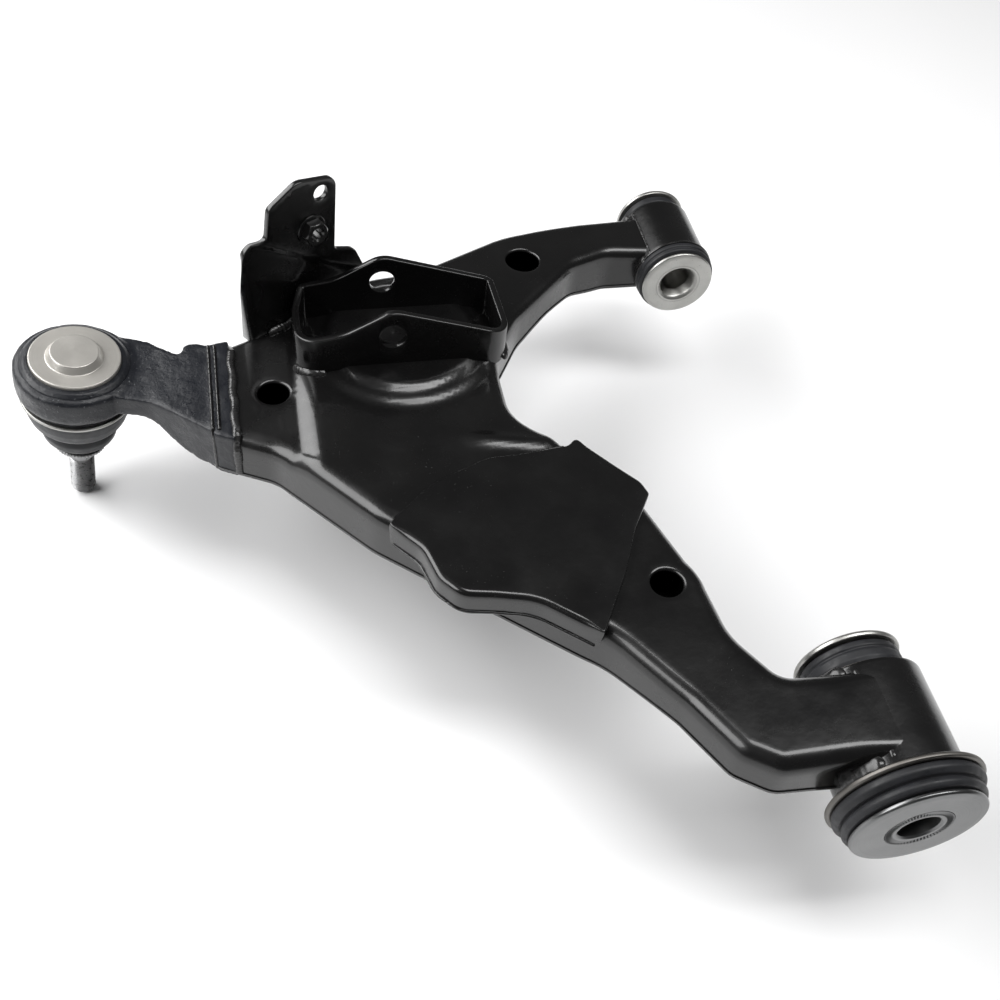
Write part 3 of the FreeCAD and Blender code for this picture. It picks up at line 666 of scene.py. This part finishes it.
def upper_shell():
    flat = flat_loop(ARM_OUTLINE, 2.2)
    foot = foot_height(*flat.T) + LAP - 1
    fillet = 7.5 + 1.5 * ease((300 - flat[:, 1]) / 60) - 2 * ease((flat[:, 0] + 30) / 25)
    for x, y, radius in HOLES:
        fillet = np.minimum(fillet, np.hypot(*(flat - (x, y)).T) - radius - 4)
    piece = pressing("pressed_upper_shell", flat, top_height, foot, fillet, PAINT, holes=HOLES)
    hold_off_tubes(piece)
    return settle(piece, "arm", "black_paint", "upper_shell")


def grown(loop, distance):
    """A closed loop moved outwards."""
    return loop - inward(loop) * distance


def lower_shell():
    """The lower pressing, with its lip around the foot of the upper one and a stiffening channel."""
    loop = grown(flat_loop(ARM_OUTLINE, 2.2), 0.5)
    foot = -(foot_height(*loop.T) + LAP)

    def face(x, y):
        channel = ease((34 - np.abs((y - 236) - 0.12 * (x + 190))) / 7) * ease((x + 268) / 16)
        return -foot_height(x, y) - 2.6 * channel * ease((-140 - x) / 16)

    fillet = np.full(len(loop), 2.4)
    drains = [(-178, 196, 5), (-98, 64, 5), (-128, 330, 5)]
    piece = pressing("pressed_lower_shell", loop, face, foot, fillet, PAINT, holes=drains, lean=0,
        spacing=4.5, thickness=2.6, sink=-1)
    hold_off_tubes(piece)
    return settle(piece, "arm", "black_paint", "lower_shell")


PLATE_SHEET = 3.4
PLATE_SKIRT = 10.6
PLATE_OUTLINE = [
    (-216.4, 138.1, 2), (-202.5, 122, 18), (-197.5, 103, 16), (-187.5, 91, 14), (-172, 88.5, 20),
    (-152, 84, 30), (-124, 61, 1.5), (-104.3, 95, 60), (-92, 122, 40), (-78.8, 143.2, 3), (-80, 152, 10),
    (-108, 187, 3), (-113.5, 181.5, 6), (-140, 178, 20), (-159, 177, 30), (-191, 162, 40)]
NEAR_SKIRT = ((-216.4, 138.1), (-124, 61))
FORK_SKIRT = ((-78.8, 143.2), (-108, 187))


def stretch(loop, corners, margin):
    """1 on the stretch of a loop that runs from one corner to the other, easing to 0 at its ends."""
    first, last = (int(np.argmin(np.hypot(*(loop - corner).T))) for corner in corners)
    steps = np.hypot(*(np.roll(loop, -1, axis=0) - loop).T)
    distance = np.cumsum(steps) - steps
    run = (distance - distance[first]) % steps.sum()
    length = (distance[last] - distance[first]) % steps.sum()
    return ease(run / margin) * ease((length - run) / margin) * (run <= length)


def reinforcement_plate():
    """The doubler over the near leg's root: skirts hang from its near side and from the fork's side."""
    flat = flat_loop(PLATE_OUTLINE, 1.6)
    skirt = stretch(flat, NEAR_SKIRT, 1.7) + stretch(flat, FORK_SKIRT, 1.7)
    crest = top_height(*flat.T) + PLATE_SHEET
    fillet = 1.1 + 2.4 * stretch(flat, NEAR_SKIRT, 12) + 1.6 * stretch(flat, FORK_SKIRT, 9)
    foot = crest - PLATE_SHEET + 0.1 - skirt * PLATE_SKIRT
    piece = pressing("reinforcement_doubler", flat, lambda x, y: top_height(x, y) + PLATE_SHEET, foot, fillet,
        PAINT, lean=0.02)
    return settle(piece, "arm", "black_paint", "reinforcement_plate")


upper_shell()
lower_shell()
reinforcement_plate()

# ---- forged end


def block(loop, low, high, spacing=4):
    """The points and faces of an upright block between two heights, each a function of x and y."""
    extra, triangles = filled([loop], spacing)
    everything = np.vstack([loop, extra])
    count = len(everything)
    points = [*np.column_stack([everything, low(*everything.T)]),
        *np.column_stack([everything, high(*everything.T)])]
    faces = [face[::-1] for face in triangles]
    faces += [tuple(i + count for i in face) for face in triangles]
    strip(faces, 0, count, len(loop))
    return points, faces


SHANK_OUTLINE = [(-366, 252, 0), (-344, 248, 20), (-330, 243.5, 15), (-299, 217, 2), (-294, 217, 0),
    (-294, 282, 0), (-304, 286.8, 4), (-312, 286.5, 4), (-313, 276.5, 4), (-331.5, 292.5, 8),
    (-350, 299, 0), (-366, 295, 0)]
COLLAR_OUTLINE = [(-298.5, 215.3, 2), (-286.5, 208.8, 1), (-286.5, 287.3, 1), (-298.5, 284.3, 2)]


def shank_top(x, y):
    return 18.5 + 1.6 * ease((x + 338) / 30)


def shank_foot(x, y):
    return 5.5 - 15 * ease((x + 338) / 30)


def forged_end():
    """The ring around the ball joint, its shank and the collar, blended into one forging."""
    ring = lathe("forged_blank", BALL_JOINT, [
        (0, -4, 0), (27, -4, 0), (30.8, -5, 1), (32.3, -6.8, 1.2), (32.3, -19.5, 3), (30, -23.5, 1.2),
        (26.5, -23.5, 0), (26.5, -32, 0), (0, -32, 0)], FORGING_PAINT, closed=False, segments=120)
    shank = block(flat_loop(SHANK_OUTLINE, 2), shank_foot, shank_top)
    collar = block(flat_loop(COLLAR_OUTLINE, 2), lambda x, y: np.full(len(x), -9.3),
        lambda x, y: np.full(len(x), 20.6))
    parts = [ring, mesh_piece("shank", *shank, FORGING_PAINT), mesh_piece("collar", *collar, FORGING_PAINT)]
    with bpy.context.temp_override(active_object=ring, selected_editable_objects=parts):
        bpy.ops.object.join()
    blend_in = ring.modifiers.new("blend", "REMESH")
    blend_in.mode = "VOXEL"
    blend_in.voxel_size = 1.15 * MM
    relax = ring.modifiers.new("relax", "SMOOTH")
    relax.factor = 0.5
    relax.iterations = 7
    apply_modifiers(ring)
    for vertex in ring.data.vertices:
        place = vertex.co / MM
        offset = place - COVER_FACE
        flat = (offset - BALL_UP * offset.dot(BALL_UP)).length
        hammered = noise.noise(place * 0.11) * 0.35 + noise.noise(place * 0.4) * 0.12
        if flat > 27:
            vertex.co += vertex.normal * hammered * MM
    smooth(ring, 60)
    ring.name = "forged_ball_joint_end"
    settle(ring, "arm", "forging_paint", "forged_end")
    turned("rolled_retaining_lip", BALL_JOINT, [
        (24.05, -4.6, 0), (24.05, -1.9, 0.4), (26.6, -2.3, 1.4), (28.6, -4, 1), (29.4, -5.6, 0)],
        FORGING_PAINT, "arm", "forging_paint")
    for number, x in enumerate((-298.2, -294.8)):
        path = [Vector((x, 216 - 0.4 * number, z)) for z in (-8, 6, 17)]
        path += [Vector((x, y, 20.4)) for y in (217.5, 240, 262, 283)]
        ups = [Vector((-0.5, -0.9, 0))] * 3 + [UP] * 4
        ridge = bead(f"collar_ridge_{number + 1}", path, ups, 1.0, 1.1, 4.0, PAINT)


forged_end()

# ---- ball joint

turned("turned_cover", BALL_JOINT, [
    (0, -5, 0), (24, -5, 0.3), (24, 0, 0.7), (15.1, 0, 0.7), (14.6, 0.9, 0.3), (12.6, 4, 0.7), (0, 4, 0)],
    COVER_STEEL, "arm", "machined_steel", "ball_joint_cover", closed=False, step=0.35)

BOOT_GROOVE = 48.5
BOOT_SPLIT = 44
SPLIT_RADIUS = 24.5
BOOT_WALL = 1.8


def boot_wall(name, line):
    """A convoluted rubber wall, turned about the ball joint's axis."""
    outside = [(radius, -depth, corner) for radius, depth, corner in line]
    inside = [(radius - BOOT_WALL, -depth, max(corner - 0.5, 0)) for radius, depth, corner in reversed(line)]
    piece = lathe(name, BALL_JOINT, outside + inside, BOOT_RUBBER, segments=128, step=0.8, sharp=70)
    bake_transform(piece)
    return piece


upper_boot = boot_wall("dust_boot_upper_convolution", [
    (28.4, 25, 0.6), (28.4, 32, 1.5), (28, 36, 3), (26.4, 41.2, 4), (SPLIT_RADIUS, BOOT_SPLIT, 0)])
lower_boot = boot_wall("dust_boot_lower_convolution", [
    (SPLIT_RADIUS, BOOT_SPLIT, 0), (22.4, 46.4, 3), (19.8, 47.6, 0.8), (19.4, BOOT_GROOVE, 0),
    (19.8, 49.4, 0.8), (21.1, 52.4, 2.5), (20.2, 57.2, 4), (15.8, 61.8, 4), (12.4, 64.2, 2), (12, 65.8, 1),
    (12, 69, 0.7)])
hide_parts("dust_boot")
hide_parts("dust_boot")

turned("boot_clamp_ring", BALL_JOINT, [
    (28.5, -26.2, 0.3), (30.2, -26.2, 0.6), (30.6, -27.2, 0.6), (30.2, -28.2, 0.6), (28.5, -28.2, 0.3)],
    PLATED, "arm", "spring_steel", "boot_large_ring", step=0.3)
turned("boot_neck_spring", BALL_JOINT, [
    (12.45, -66, 0.6), (14.5, -66, 0.9), (14.5, -68.1, 0.9), (12.45, -68.1, 0.6)],
    STUD_STEEL, "boot_neck", "spring_steel", "boot_small_ring", step=0.3, segments=288,
    shape=lambda radius, height, turn: (radius + 0.22 * math.sin(48 * turn) * (radius > 13), height))

THREAD_PITCH = 1.5
THREAD_RADIUS = mount_size("ball_stud_thread")
THREAD_START = 80
THREAD_END = 107.8
COTTER_DEPTH = 103


def stud_profile():
    """The ball, neck, tapered seat and core of the stud, from its top down."""
    turns = [math.radians(turn) for turn in range(90, -60, -6)]
    line = [(12.5 * math.cos(turn), -BALL_DEPTH + 12.5 * math.sin(turn), 0) for turn in turns]
    line[0] = (0, line[0][1], 0)
    line += [(6.6, -31, 1.5), (7.4, -44, 2), (9.4, -50, 2), (9.4, -64, 1), (7.3, -78, 0.6), (6.2, -79.6, 0.3),
        (6.2, -107.8, 0.2), (5.6, -109, 0.3), (0, -109, 0)]
    return line


def drill_out(cutter, *pieces):
    """Cuts one piece out of others and takes it away."""
    for piece in pieces:
        cut = piece.modifiers.new("drill", "BOOLEAN")
        cut.operation = "DIFFERENCE"
        cut.object = cutter
        cut.solver = "EXACT"
        apply_modifiers(piece)
        smooth(piece, 32)
    bpy.data.objects.remove(cutter)


def thread(name, start, end):
    """A helical thread with 60 degree flanks."""
    segments, rows_each = 72, 9
    rows = int((end - start) / THREAD_PITCH * rows_each)
    points, faces = [], []
    for i in range(rows + 1):
        depth = start + (end - start) * i / rows
        run_out = min((depth - start) / 2.2, (end - depth) / 1.4, 1)
        for k in range(segments):
            turn = math.tau * k / segments
            phase = (depth / THREAD_PITCH - k / segments) % 1
            crest = min(max(1.25 - abs(phase - 0.5) * 2.9, 0), 1)
            radius = 6.12 + (THREAD_RADIUS - 6.12) * crest * ease(run_out)
            points.append(BALL_JOINT @ Vector((radius * math.cos(turn), radius * math.sin(turn), -depth)))
    core = len(points)
    for depth in (end, start):
        points.extend(BALL_JOINT @ Vector((*spot, -depth)) for spot in circle(0, 0, 5, segments))
    stack(faces, 0, segments, rows + 1)
    strip(faces, rows * segments, core, segments)
    strip(faces, core, core + segments, segments)
    strip(faces, core + segments, 0, segments)
    return mesh_piece(name, points, faces, STUD_STEEL, 40)


def ball_stud():
    across = Matrix.Rotation(math.pi / 2, 4, "Y")
    drill_place = BALL_JOINT @ Matrix.Translation((-14, 0, -COTTER_DEPTH)) @ across
    drill = lathe("cotter_drill", drill_place, [(0, 0, 0), (1.6, 0, 0), (1.6, 28, 0), (0, 28, 0)], STUD_STEEL,
        closed=False, segments=32, step=30)
    stud = lathe("tapered_ball_stud", BALL_JOINT, stud_profile(), STUD_STEEL, closed=False, segments=96,
        step=1.4)
    coil = thread("stud_thread", THREAD_START - 1.2, THREAD_END)
    drill_out(drill, stud, coil)
    settle(stud, "stud", "stud_steel", "ball_stud")
    settle(coil, "stud", "stud_steel")


ball_stud()

# ---- bushes

SERRATIONS = 60


def serrated(radius, height, turn):
    """Cuts radial teeth in the near end of the large inner sleeve."""
    if height > -44.9 or not 12.6 < radius < 16.2:
        return radius, height
    tooth = abs((turn / math.tau * SERRATIONS) % 1 - 0.5) * 2
    return radius, height + 0.75 * tooth * min((radius - 12.6) / 0.5, (16.2 - radius) / 0.5, 1)


BUSH_SLOTS = {PLATED: "zinc_steel", WASHER_STEEL: "zinc_steel", BUSH_RUBBER: "bush_rubber"}


def bush(size, place, rows):
    """The turned pieces of a bush; those in bare steel turn with the pivot bolt."""
    for name, node, finish, corners, ways in rows:
        slot = BUSH_SLOTS.get(finish, "black_paint")
        body = f"{size}_bush_inner" if slot == "zinc_steel" else "arm"
        turned(f"{size}_bush_{name}", place, corners, finish, body, slot, f"{size}_bush_{node}", **ways)


bush("large", LARGE_BUSH, [
    ("tube", "housing", PAINT, [
        (26.7, -27, 0.3), (30.7, -27, 0.9), (30.7, 27, 0.9), (26.7, 27, 0.3)], {"step": 1.2}),
    ("flanged_sleeve", "outer_sleeve", FLANGE_STEEL, [
        (24.7, -29.8, 0.2), (36.6, -29.8, 2), (38, -29.2, 0.7), (37.9, -26.9, 0.9), (35, -27, 1.5),
        (26.75, -27, 0.2), (26.75, 29, 0.5), (24.7, 29, 0.3)], {}),
    ("convoluted_rubber", "rubber", BUSH_RUBBER, [
        (16.5, -41.6, 0), (29.5, -41.6, 1.5), (33.2, -41.2, 1.6), (34.4, -39, 1.8), (33.9, -37, 1.4),
        (32.1, -36.1, 0.7), (34.8, -35.6, 1.2), (36.6, -33.2, 2.2), (36, -30, 1.2), (26, -29.9, 0),
        (24.6, -29, 0), (24.6, 29.4, 0.4), (25.6, 31.5, 1.5), (25.6, 35.6, 1.4), (24.6, 36.6, 0.6),
        (25.5, 37.8, 1), (25.3, 40.6, 1.2), (23, 41.6, 0.8), (16.5, 41.6, 0)], {"step": 0.5, "sharp": 60}),
    ("serrated_sleeve", "inner_sleeve", WASHER_STEEL, [
        (10.2, -44, 0), (11, -45, 0.4), (11.9, -45, 0.2), (12.6, -44.95, 0), (13.1, -44.95, 0),
        (15.7, -44.95, 0), (16.2, -44.95, 0), (16.4, -44, 0), (16.4, 45, 0.3), (11, 45, 0.3),
        (10.2, 44.2, 0)], {"segments": 480, "step": 5, "shape": serrated, "sharp": 28}),
    ("near_disc", "near_washer", WASHER_STEEL, [
        (16.45, -42, 0.2), (16.45, -44.9, 0.25), (29, -44.95, 3), (32, -44.7, 1.0), (32.6, -43.6, 0.7),
        (32.3, -42.1, 0.7), (29, -42, 1)], {"step": 0.4}),
    ("far_disc", "far_washer", PLATED, [
        (16.45, 42, 0.2), (16.45, 45, 0.25), (26.2, 45, 0.9), (27, 43.7, 0.8), (26.7, 42, 0.6)],
        {"step": 0.4})])
bush("small", SMALL_BUSH, [
    ("tube", "housing", PAINT, [
        (20.4, -22, 0.3), (23.9, -22, 0.8), (23.9, 22, 0.8), (20.4, 22, 0.3)], {"step": 1.2}),
    ("flanged_sleeve", "outer_sleeve", PAINT, [
        (18.9, -23.8, 0.2), (25.4, -23.8, 0.7), (25.4, -22, 0.7), (20.45, -22, 0.2), (20.45, 24, 0.4),
        (18.9, 24, 0.3)], {}),
    ("rubber_ring", "rubber", BUSH_RUBBER, [
        (14.5, -31.6, 0), (22.6, -31.6, 1), (24.6, -30.6, 1.2), (24.7, -28.6, 0.8), (23.7, -27.8, 0.5),
        (25.1, -26.9, 0.9), (25, -24, 0.8), (18.8, -23.9, 0), (18.8, 24.4, 0.4), (21.2, 26, 1.2),
        (21.5, 30, 1), (20, 31.6, 0.8), (14.5, 31.6, 0)], {"step": 0.5, "sharp": 60}),
    ("coned_sleeve", "inner_sleeve", PLATED, [
        (9.1, -28, 1.5), (11.4, -33.4, 2.5), (13.1, -34.9, 0.5), (14.4, -34.95, 0.2), (14.4, 35, 0.3),
        (9.9, 35, 0.3), (9.1, 34.2, 0)], {}),
    ("near_disc", "near_washer", PLATED, [
        (14.45, -32, 0.2), (14.45, -34.95, 0.2), (20.6, -34.8, 3), (22.9, -34.2, 1.0), (23.3, -33, 0.6),
        (22.9, -32, 0.5)], {"step": 0.4}),
    ("far_disc", "far_washer", PLATED, [
        (14.45, 32, 0.2), (14.45, 35, 0.2), (22.5, 35, 0.9), (23.3, 33.7, 0.8), (22.9, 32, 0.5)],
        {"step": 0.4})])

# ---- shock absorber bracket

EAR_HOLE = in_mm(MOUNTS["shock_bracket_bolt"]["pos_m"])
EAR_HOLE_RADIUS = mount_size("shock_bracket_bolt")
EAR_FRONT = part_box("shock_bracket")[0].y / MM
EAR_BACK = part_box("shock_bracket")[1].y / MM
EAR_SHEET = 4.0
EAR_EDGE = 0.9
BRACKET_PLAN = [(-251, EAR_FRONT, 13), (-131.5, EAR_FRONT, 13), (-133.5, EAR_BACK, 5), (-246, EAR_BACK, 5),
    (-251, 280, 30)]
BRACKET_RIM = [(-256, 45, 0), (-226, 49.5, 30), (-199, 64.5, 14), (-134, 43.5, 20), (-124, 41.5, 0)]


def bolt_drill():
    """A cutter for the bolt's holes, with rounded mouths at each sheet."""
    flare = [(EAR_HOLE_RADIUS + 0.7, 0, 0), (EAR_HOLE_RADIUS + 0.2, 0.3, 0), (EAR_HOLE_RADIUS, 0.9, 0)]
    sheet = flare + [(radius, EAR_SHEET - depth, 0) for radius, depth, _ in reversed(flare)]
    back = EAR_BACK - EAR_FRONT - EAR_SHEET
    profile = [(0, -3, 0), (EAR_HOLE_RADIUS + 1, -3, 0)] + sheet
    profile += [(radius, back + depth, 0) for radius, depth, _ in sheet]
    profile += [(EAR_HOLE_RADIUS + 1, back + EAR_SHEET + 3, 0), (0, back + EAR_SHEET + 3, 0)]
    place = axes(Vector((EAR_HOLE.x, EAR_FRONT, EAR_HOLE.z)), ALONG, PIVOT)
    return lathe("bolt_drill", place, profile, PAINT, closed=False, segments=72, step=60)


def shock_bracket():
    """Two ears joined by rounded ends, standing on the dome and drilled for the shock absorber's bolt."""
    loop = flat_loop(BRACKET_PLAN, 1.4)
    crest = flat_loop(BRACKET_RIM, 1, closed=False)
    rim = np.interp(loop[:, 0], crest[:, 0], crest[:, 1])
    normals = inward(loop)
    outer = [(EAR_EDGE - EAR_EDGE * math.cos(turn), EAR_EDGE - EAR_EDGE * math.sin(turn))
        for turn in np.radians((0, 30, 60, 90))]
    levels = outer + [(EAR_SHEET - inset, drop) for inset, drop in outer[::-1]]
    points, faces = [], []
    for inset, drop in levels:
        points.extend(np.column_stack([loop + normals * inset, rim - drop]))
    for inset in (EAR_SHEET, 0):
        flat = loop + normals * inset
        points.extend(np.column_stack([flat, top_height(*flat.T) - 1]))
    rows = len(levels) + 2
    for level in range(rows):
        strip(faces, level * len(loop), (level + 1) % rows * len(loop), len(loop))
    piece = mesh_piece("shock_bracket_ears", points, faces, PAINT)
    drill_out(bolt_drill(), piece)
    settle(piece, "arm", "black_paint", "shock_bracket")


shock_bracket()

# ---- link bracket

LINK_OUTLINE = [
    (-12, 12, 1), (-2.5, 82, 9), (11, 86, 3), (13.5, 103.5, 5), (32, 113.5, 9), (57, 108, 7),
    (55, 61, 3), (69, 55, 8), (78, 34, 3), (78, 19, 1)]
LINK_SHEET = 3.5
LINK_HOLE = in_mm(MOUNTS["link_bracket_hole"]["pos_m"])
LINK_NUT = in_mm(MOUNTS["link_bracket_thread"]["pos_m"])
LINK_FACING = Vector(MOUNTS["link_bracket_thread"]["axis"]).normalized()
LINK_ALONG = UP.cross(LINK_FACING)
LINK_ORIGIN = Vector((-271, 284, 0))
FOLD_TOP = Vector((-2.5, 84))
FOLD_FOOT = Vector((2.5, 17))
FOLD_RADIUS = 4.0
CREASE_START = Vector((10, 81))
CREASE_FALL = 0.7
CREASE_DEPTH = 2.6
FOLD_ANGLE = math.radians(95)


def link_place(a, b, n):
    """Folds the flat blank: a joggle half-way up and a stiffening flange bent back at the left."""
    above = b - CREASE_START.y + CREASE_FALL * (a - CREASE_START.x)
    set_back = CREASE_DEPTH * (1 - float(ease(above / 6 + 0.5)))
    line = (FOLD_FOOT - FOLD_TOP).normalized()
    across = Vector((-line.y, line.x))
    beyond = -(Vector((a, b)) - FOLD_TOP).dot(across)
    if beyond > 0:
        arc = min(beyond / FOLD_RADIUS, FOLD_ANGLE)
        rest = beyond - arc * FOLD_RADIUS
        inner = FOLD_RADIUS + n
        sideways = inner * math.sin(arc) + rest * math.cos(arc)
        behind = FOLD_RADIUS + n - inner * math.cos(arc) + rest * math.sin(arc)
        a, b = Vector((a, b)) + across * (beyond - sideways)
        set_back += behind
    return LINK_ORIGIN + LINK_ALONG * a + Vector((0, 0, b)) + LINK_FACING * (n - set_back)


def hex_nut(name, origin, axis, along, apothem, height, bore, made):
    """A chamfered hexagon nut standing on a sheet."""
    place = axes(origin, along, axis)

    def hexagon(radius, level, turn):
        if radius < bore + 1.2:
            return radius, level
        flat = apothem / math.cos((turn % (math.pi / 3)) - math.pi / 6)
        return (min(radius, flat) if level > 1.4 else radius), level

    corner = apothem / math.cos(math.pi / 6)
    return lathe(name, place, [
        (bore, 0.2, 0), (corner + 1.4, 0.1, 0), (corner + 1.4, 1.1, 0.5), (corner, 1.7, 0.3),
        (corner, height - 1.2, 0),
        (apothem - 0.2, height, 0), (bore + 0.9, height, 0), (bore, height - 0.9, 0)], made, segments=144,
        step=0.5, shape=hexagon, sharp=24)


def link_bracket():
    base = [(x, float(top_height(*(LINK_ORIGIN + LINK_ALONG * x).xy)) - 1, 0) for x in np.linspace(72, 4, 18)]
    loop = rounded((LINK_OUTLINE + base)[::-1], 1.6)
    holes = [circle((spot - LINK_ORIGIN).dot(LINK_ALONG), spot.z, mount_size("link_bracket_hole"), 40)
        for spot in (LINK_HOLE, LINK_NUT)]
    piece = slab("link_bracket_pressing", [loop, *holes], LINK_SHEET, 0.7, link_place, PAINT, spacing=3)
    settle(piece, "arm", "black_paint", "link_bracket")
    seat = LINK_NUT - LINK_FACING * (mount_size("link_bracket_thread", "length_mm") / 2)
    nut = hex_nut("link_bracket_hex_weld_nut", seat, LINK_FACING, LINK_ALONG, 6.5, 6.5, 3.4, PAINT)
    settle(nut, "arm", "black_paint", "link_bracket_weld_nut")


link_bracket()

# ---- welds


def tube_point(centre_y, radius, turn, y):
    """A point on a bush tube; turn is degrees up from -X."""
    angle = math.radians(turn)
    return Vector((-radius * math.cos(angle), centre_y + y, radius * math.sin(angle)))


def tube_weld(name, centre_y, radius, low, high, near, far, width):
    """Beads up both sides of a leg on a bush tube, and a fine one over its top."""
    over = [tube_point(centre_y, radius - 0.5, high + 3, y) for y in np.linspace(near, far, 20)]
    runs = [("top", over, 1.5, 0.8)]
    for side, y in (("near", near), ("far", far)):
        runs.append((side, [tube_point(centre_y, radius, turn, y) for turn in np.linspace(low, high - 5, 18)],
            width, 0.5 * width))
    for side, path, half, height in runs:
        ups = [Vector((point.x, 0, point.z)).normalized() for point in path]
        bead(f"{name}_{side}", path, ups, half, height, 6.5)


def surface_path(points, lift=0.0):
    return [Vector((x, y, float(top_height(x, y)) + lift)) for x, y in points]


def bracket_weld(name, low, high):
    """A bead round part of the shock bracket's foot; low and high are shares of the way round."""
    loop = flat_loop(BRACKET_PLAN, 1.4)
    start = int(np.argmin(np.hypot(*(loop - (-251, 268)).T)))
    loop = np.roll(loop, -start, axis=0)
    normals = -inward(loop)
    picked = range(int(low * len(loop)), int(high * len(loop)))
    path = surface_path([loop[i] + normals[i] * 0.4 for i in picked], 0.2)
    leans = [(Vector((*normals[i], 0.9))).normalized() for i in picked]
    bead(f"weld_shock_bracket_{name}", path, leans, 2.8, 1.5, 3.2)


def plate_bead(name, corners, drop, radius):
    """A fine bead along part of the doubler's outline, a little below its face."""
    loop = flat_loop(PLATE_OUTLINE, 1.6)
    share = stretch(loop, corners, 4)
    start = int(np.argmin(np.hypot(*(loop - corners[0]).T)))
    order = [i % len(loop) for i in range(start, start + len(loop)) if share[i % len(loop)] > 0.5]
    normals = -inward(loop)
    path = surface_path([loop[i] for i in order], PLATE_SHEET - drop)
    leans = [Vector((*normals[i], 0.6)).normalized() for i in order]
    bead(name, path, leans, radius, radius, 30, PAINT)


def welds():
    plate_bead("bead_plate_skirt", NEAR_SKIRT, PLATE_SHEET + PLATE_SKIRT - 0.6, 0.9)
    plate_bead("bead_plate_edge", ((-113.5, 181.5), NEAR_SKIRT[0]), 1.2, 0.7)
    tube_weld("weld_large_bush_tube", 0, 30.7, 0, 62, -22.5, 24, 4.4)
    tube_weld("weld_small_bush_tube", SMALL_BUSH_Y, 23.9, -30, 37, -21.5, 21.5, 3.2)
    collar = [Vector((-286.5, 209.2, z)) for z in (-7, 3, 12)]
    collar += [Vector((-286.3, 212.5, 19.2))]
    collar += [Vector((-286.2 + 0.5 * math.sin(y * 0.3), y, 20.3)) for y in range(217, 282, 5)]
    collar += [Vector((-286.5, 286.5, z)) for z in (14, 4, -7)]
    leans = [Vector((0.1, -1, 0.1))] * 3 + [Vector((0, -0.6, 0.8))] + [UP] * 13 + [Vector((0.1, 1, 0.1))] * 3
    bead("weld_collar", collar, leans, 2.3, 1.5, 2.0)
    for name, low, high in (("left", 0.02, 0.09), ("right", 0.4, 0.48), ("back", 0.6, 0.9)):
        bracket_weld(name, low, high)
    for side, behind, first, last, count, lean in (
            ("front", 2.2, 9, 34, 24, LINK_FACING), ("back", 6.2, 10, 70, 40, -LINK_FACING)):
        base = [LINK_ORIGIN + LINK_ALONG * a - LINK_FACING * behind for a in np.linspace(first, last, count)]
        path = surface_path([point.xy for point in base], 0.2)
        bead(f"weld_link_bracket_{side}", path, [UP + lean] * count, 2.8, 2.0)


welds()

# ---- hidden bearing pieces

for node, finish in (
        ("upper_bearing_seat", RESIN), ("lower_bearing_seat", RESIN), ("preload_spring", PLATED)):
    slots = frame["nodes"][node].data.materials
    slots.clear()
    slots.append(finish)

# ---- stage, light and camera

MIDDLE = (cad_box[0] + cad_box[1]) / 2


def floor():
    low = cad_box[0][2] - 0.0006
    size = 3.0
    mesh = bpy.data.meshes.new("floor")
    mesh.from_pydata([(MIDDLE[0] + x * size, MIDDLE[1] + y * size, low) for x, y in
        ((-1, -1), (1, -1), (1, 1), (-1, 1))], [], [(0, 1, 2, 3)])
    mesh.materials.append(pale_floor())
    placed("floor", mesh)


def softbox(name, direction, distance, width, height, power):
    """A rectangular area light that faces the middle of the part."""
    data = bpy.data.lights.new(name, "AREA")
    data.shape = "RECTANGLE"
    data.size, data.size_y, data.energy = width, height, power
    lamp = placed(name, data)
    way = Vector(direction).normalized()
    lamp.location = Vector(MIDDLE) + way * distance
    lamp.rotation_euler = way.to_track_quat("Z", "Y").to_euler()


def studio():
    world = bpy.data.worlds.new("studio")
    world.use_nodes = True
    background = world.node_tree.nodes["Background"]
    bpy.context.scene.view_settings.view_transform = "Standard"
    background.inputs["Color"].default_value = (1, 1, 1, 1)
    background.inputs["Strength"].default_value = 0.1
    bpy.context.scene.world = world
    softbox("left_softbox", (-0.72, 0.22, 0.6), 1.5, 2.2, 0.95, 40)
    softbox("overhead_softbox", (0.35, -0.06, 0.93), 1.7, 0.55, 1.7, 24)


VIEW_PLACE = Vector((-0.2733, -0.2283, 0.4833))
VIEW_AZIMUTH = math.radians(17.106)
VIEW_ELEVATION = math.radians(49.352)
VIEW_ROLL = math.radians(7.775)
VIEW_LENS = 42.63


def camera():
    data = bpy.data.cameras.new("camera")
    data.lens = VIEW_LENS
    data.sensor_width = 36
    data.clip_start = 0.02
    eye = placed("camera", data)
    flat = math.cos(VIEW_ELEVATION)
    ahead = Vector((math.sin(VIEW_AZIMUTH) * flat, math.cos(VIEW_AZIMUTH) * flat, -math.sin(VIEW_ELEVATION)))
    level = ahead.cross(UP).normalized()
    above = level.cross(ahead)
    right = level * math.cos(VIEW_ROLL) + above * math.sin(VIEW_ROLL)
    top = above * math.cos(VIEW_ROLL) - level * math.sin(VIEW_ROLL)
    turn = Matrix((right, top, -ahead)).transposed()
    eye.matrix_world = Matrix.Translation(VIEW_PLACE) @ turn.to_4x4()
    bpy.context.scene.camera = eye


floor()
studio()
camera()
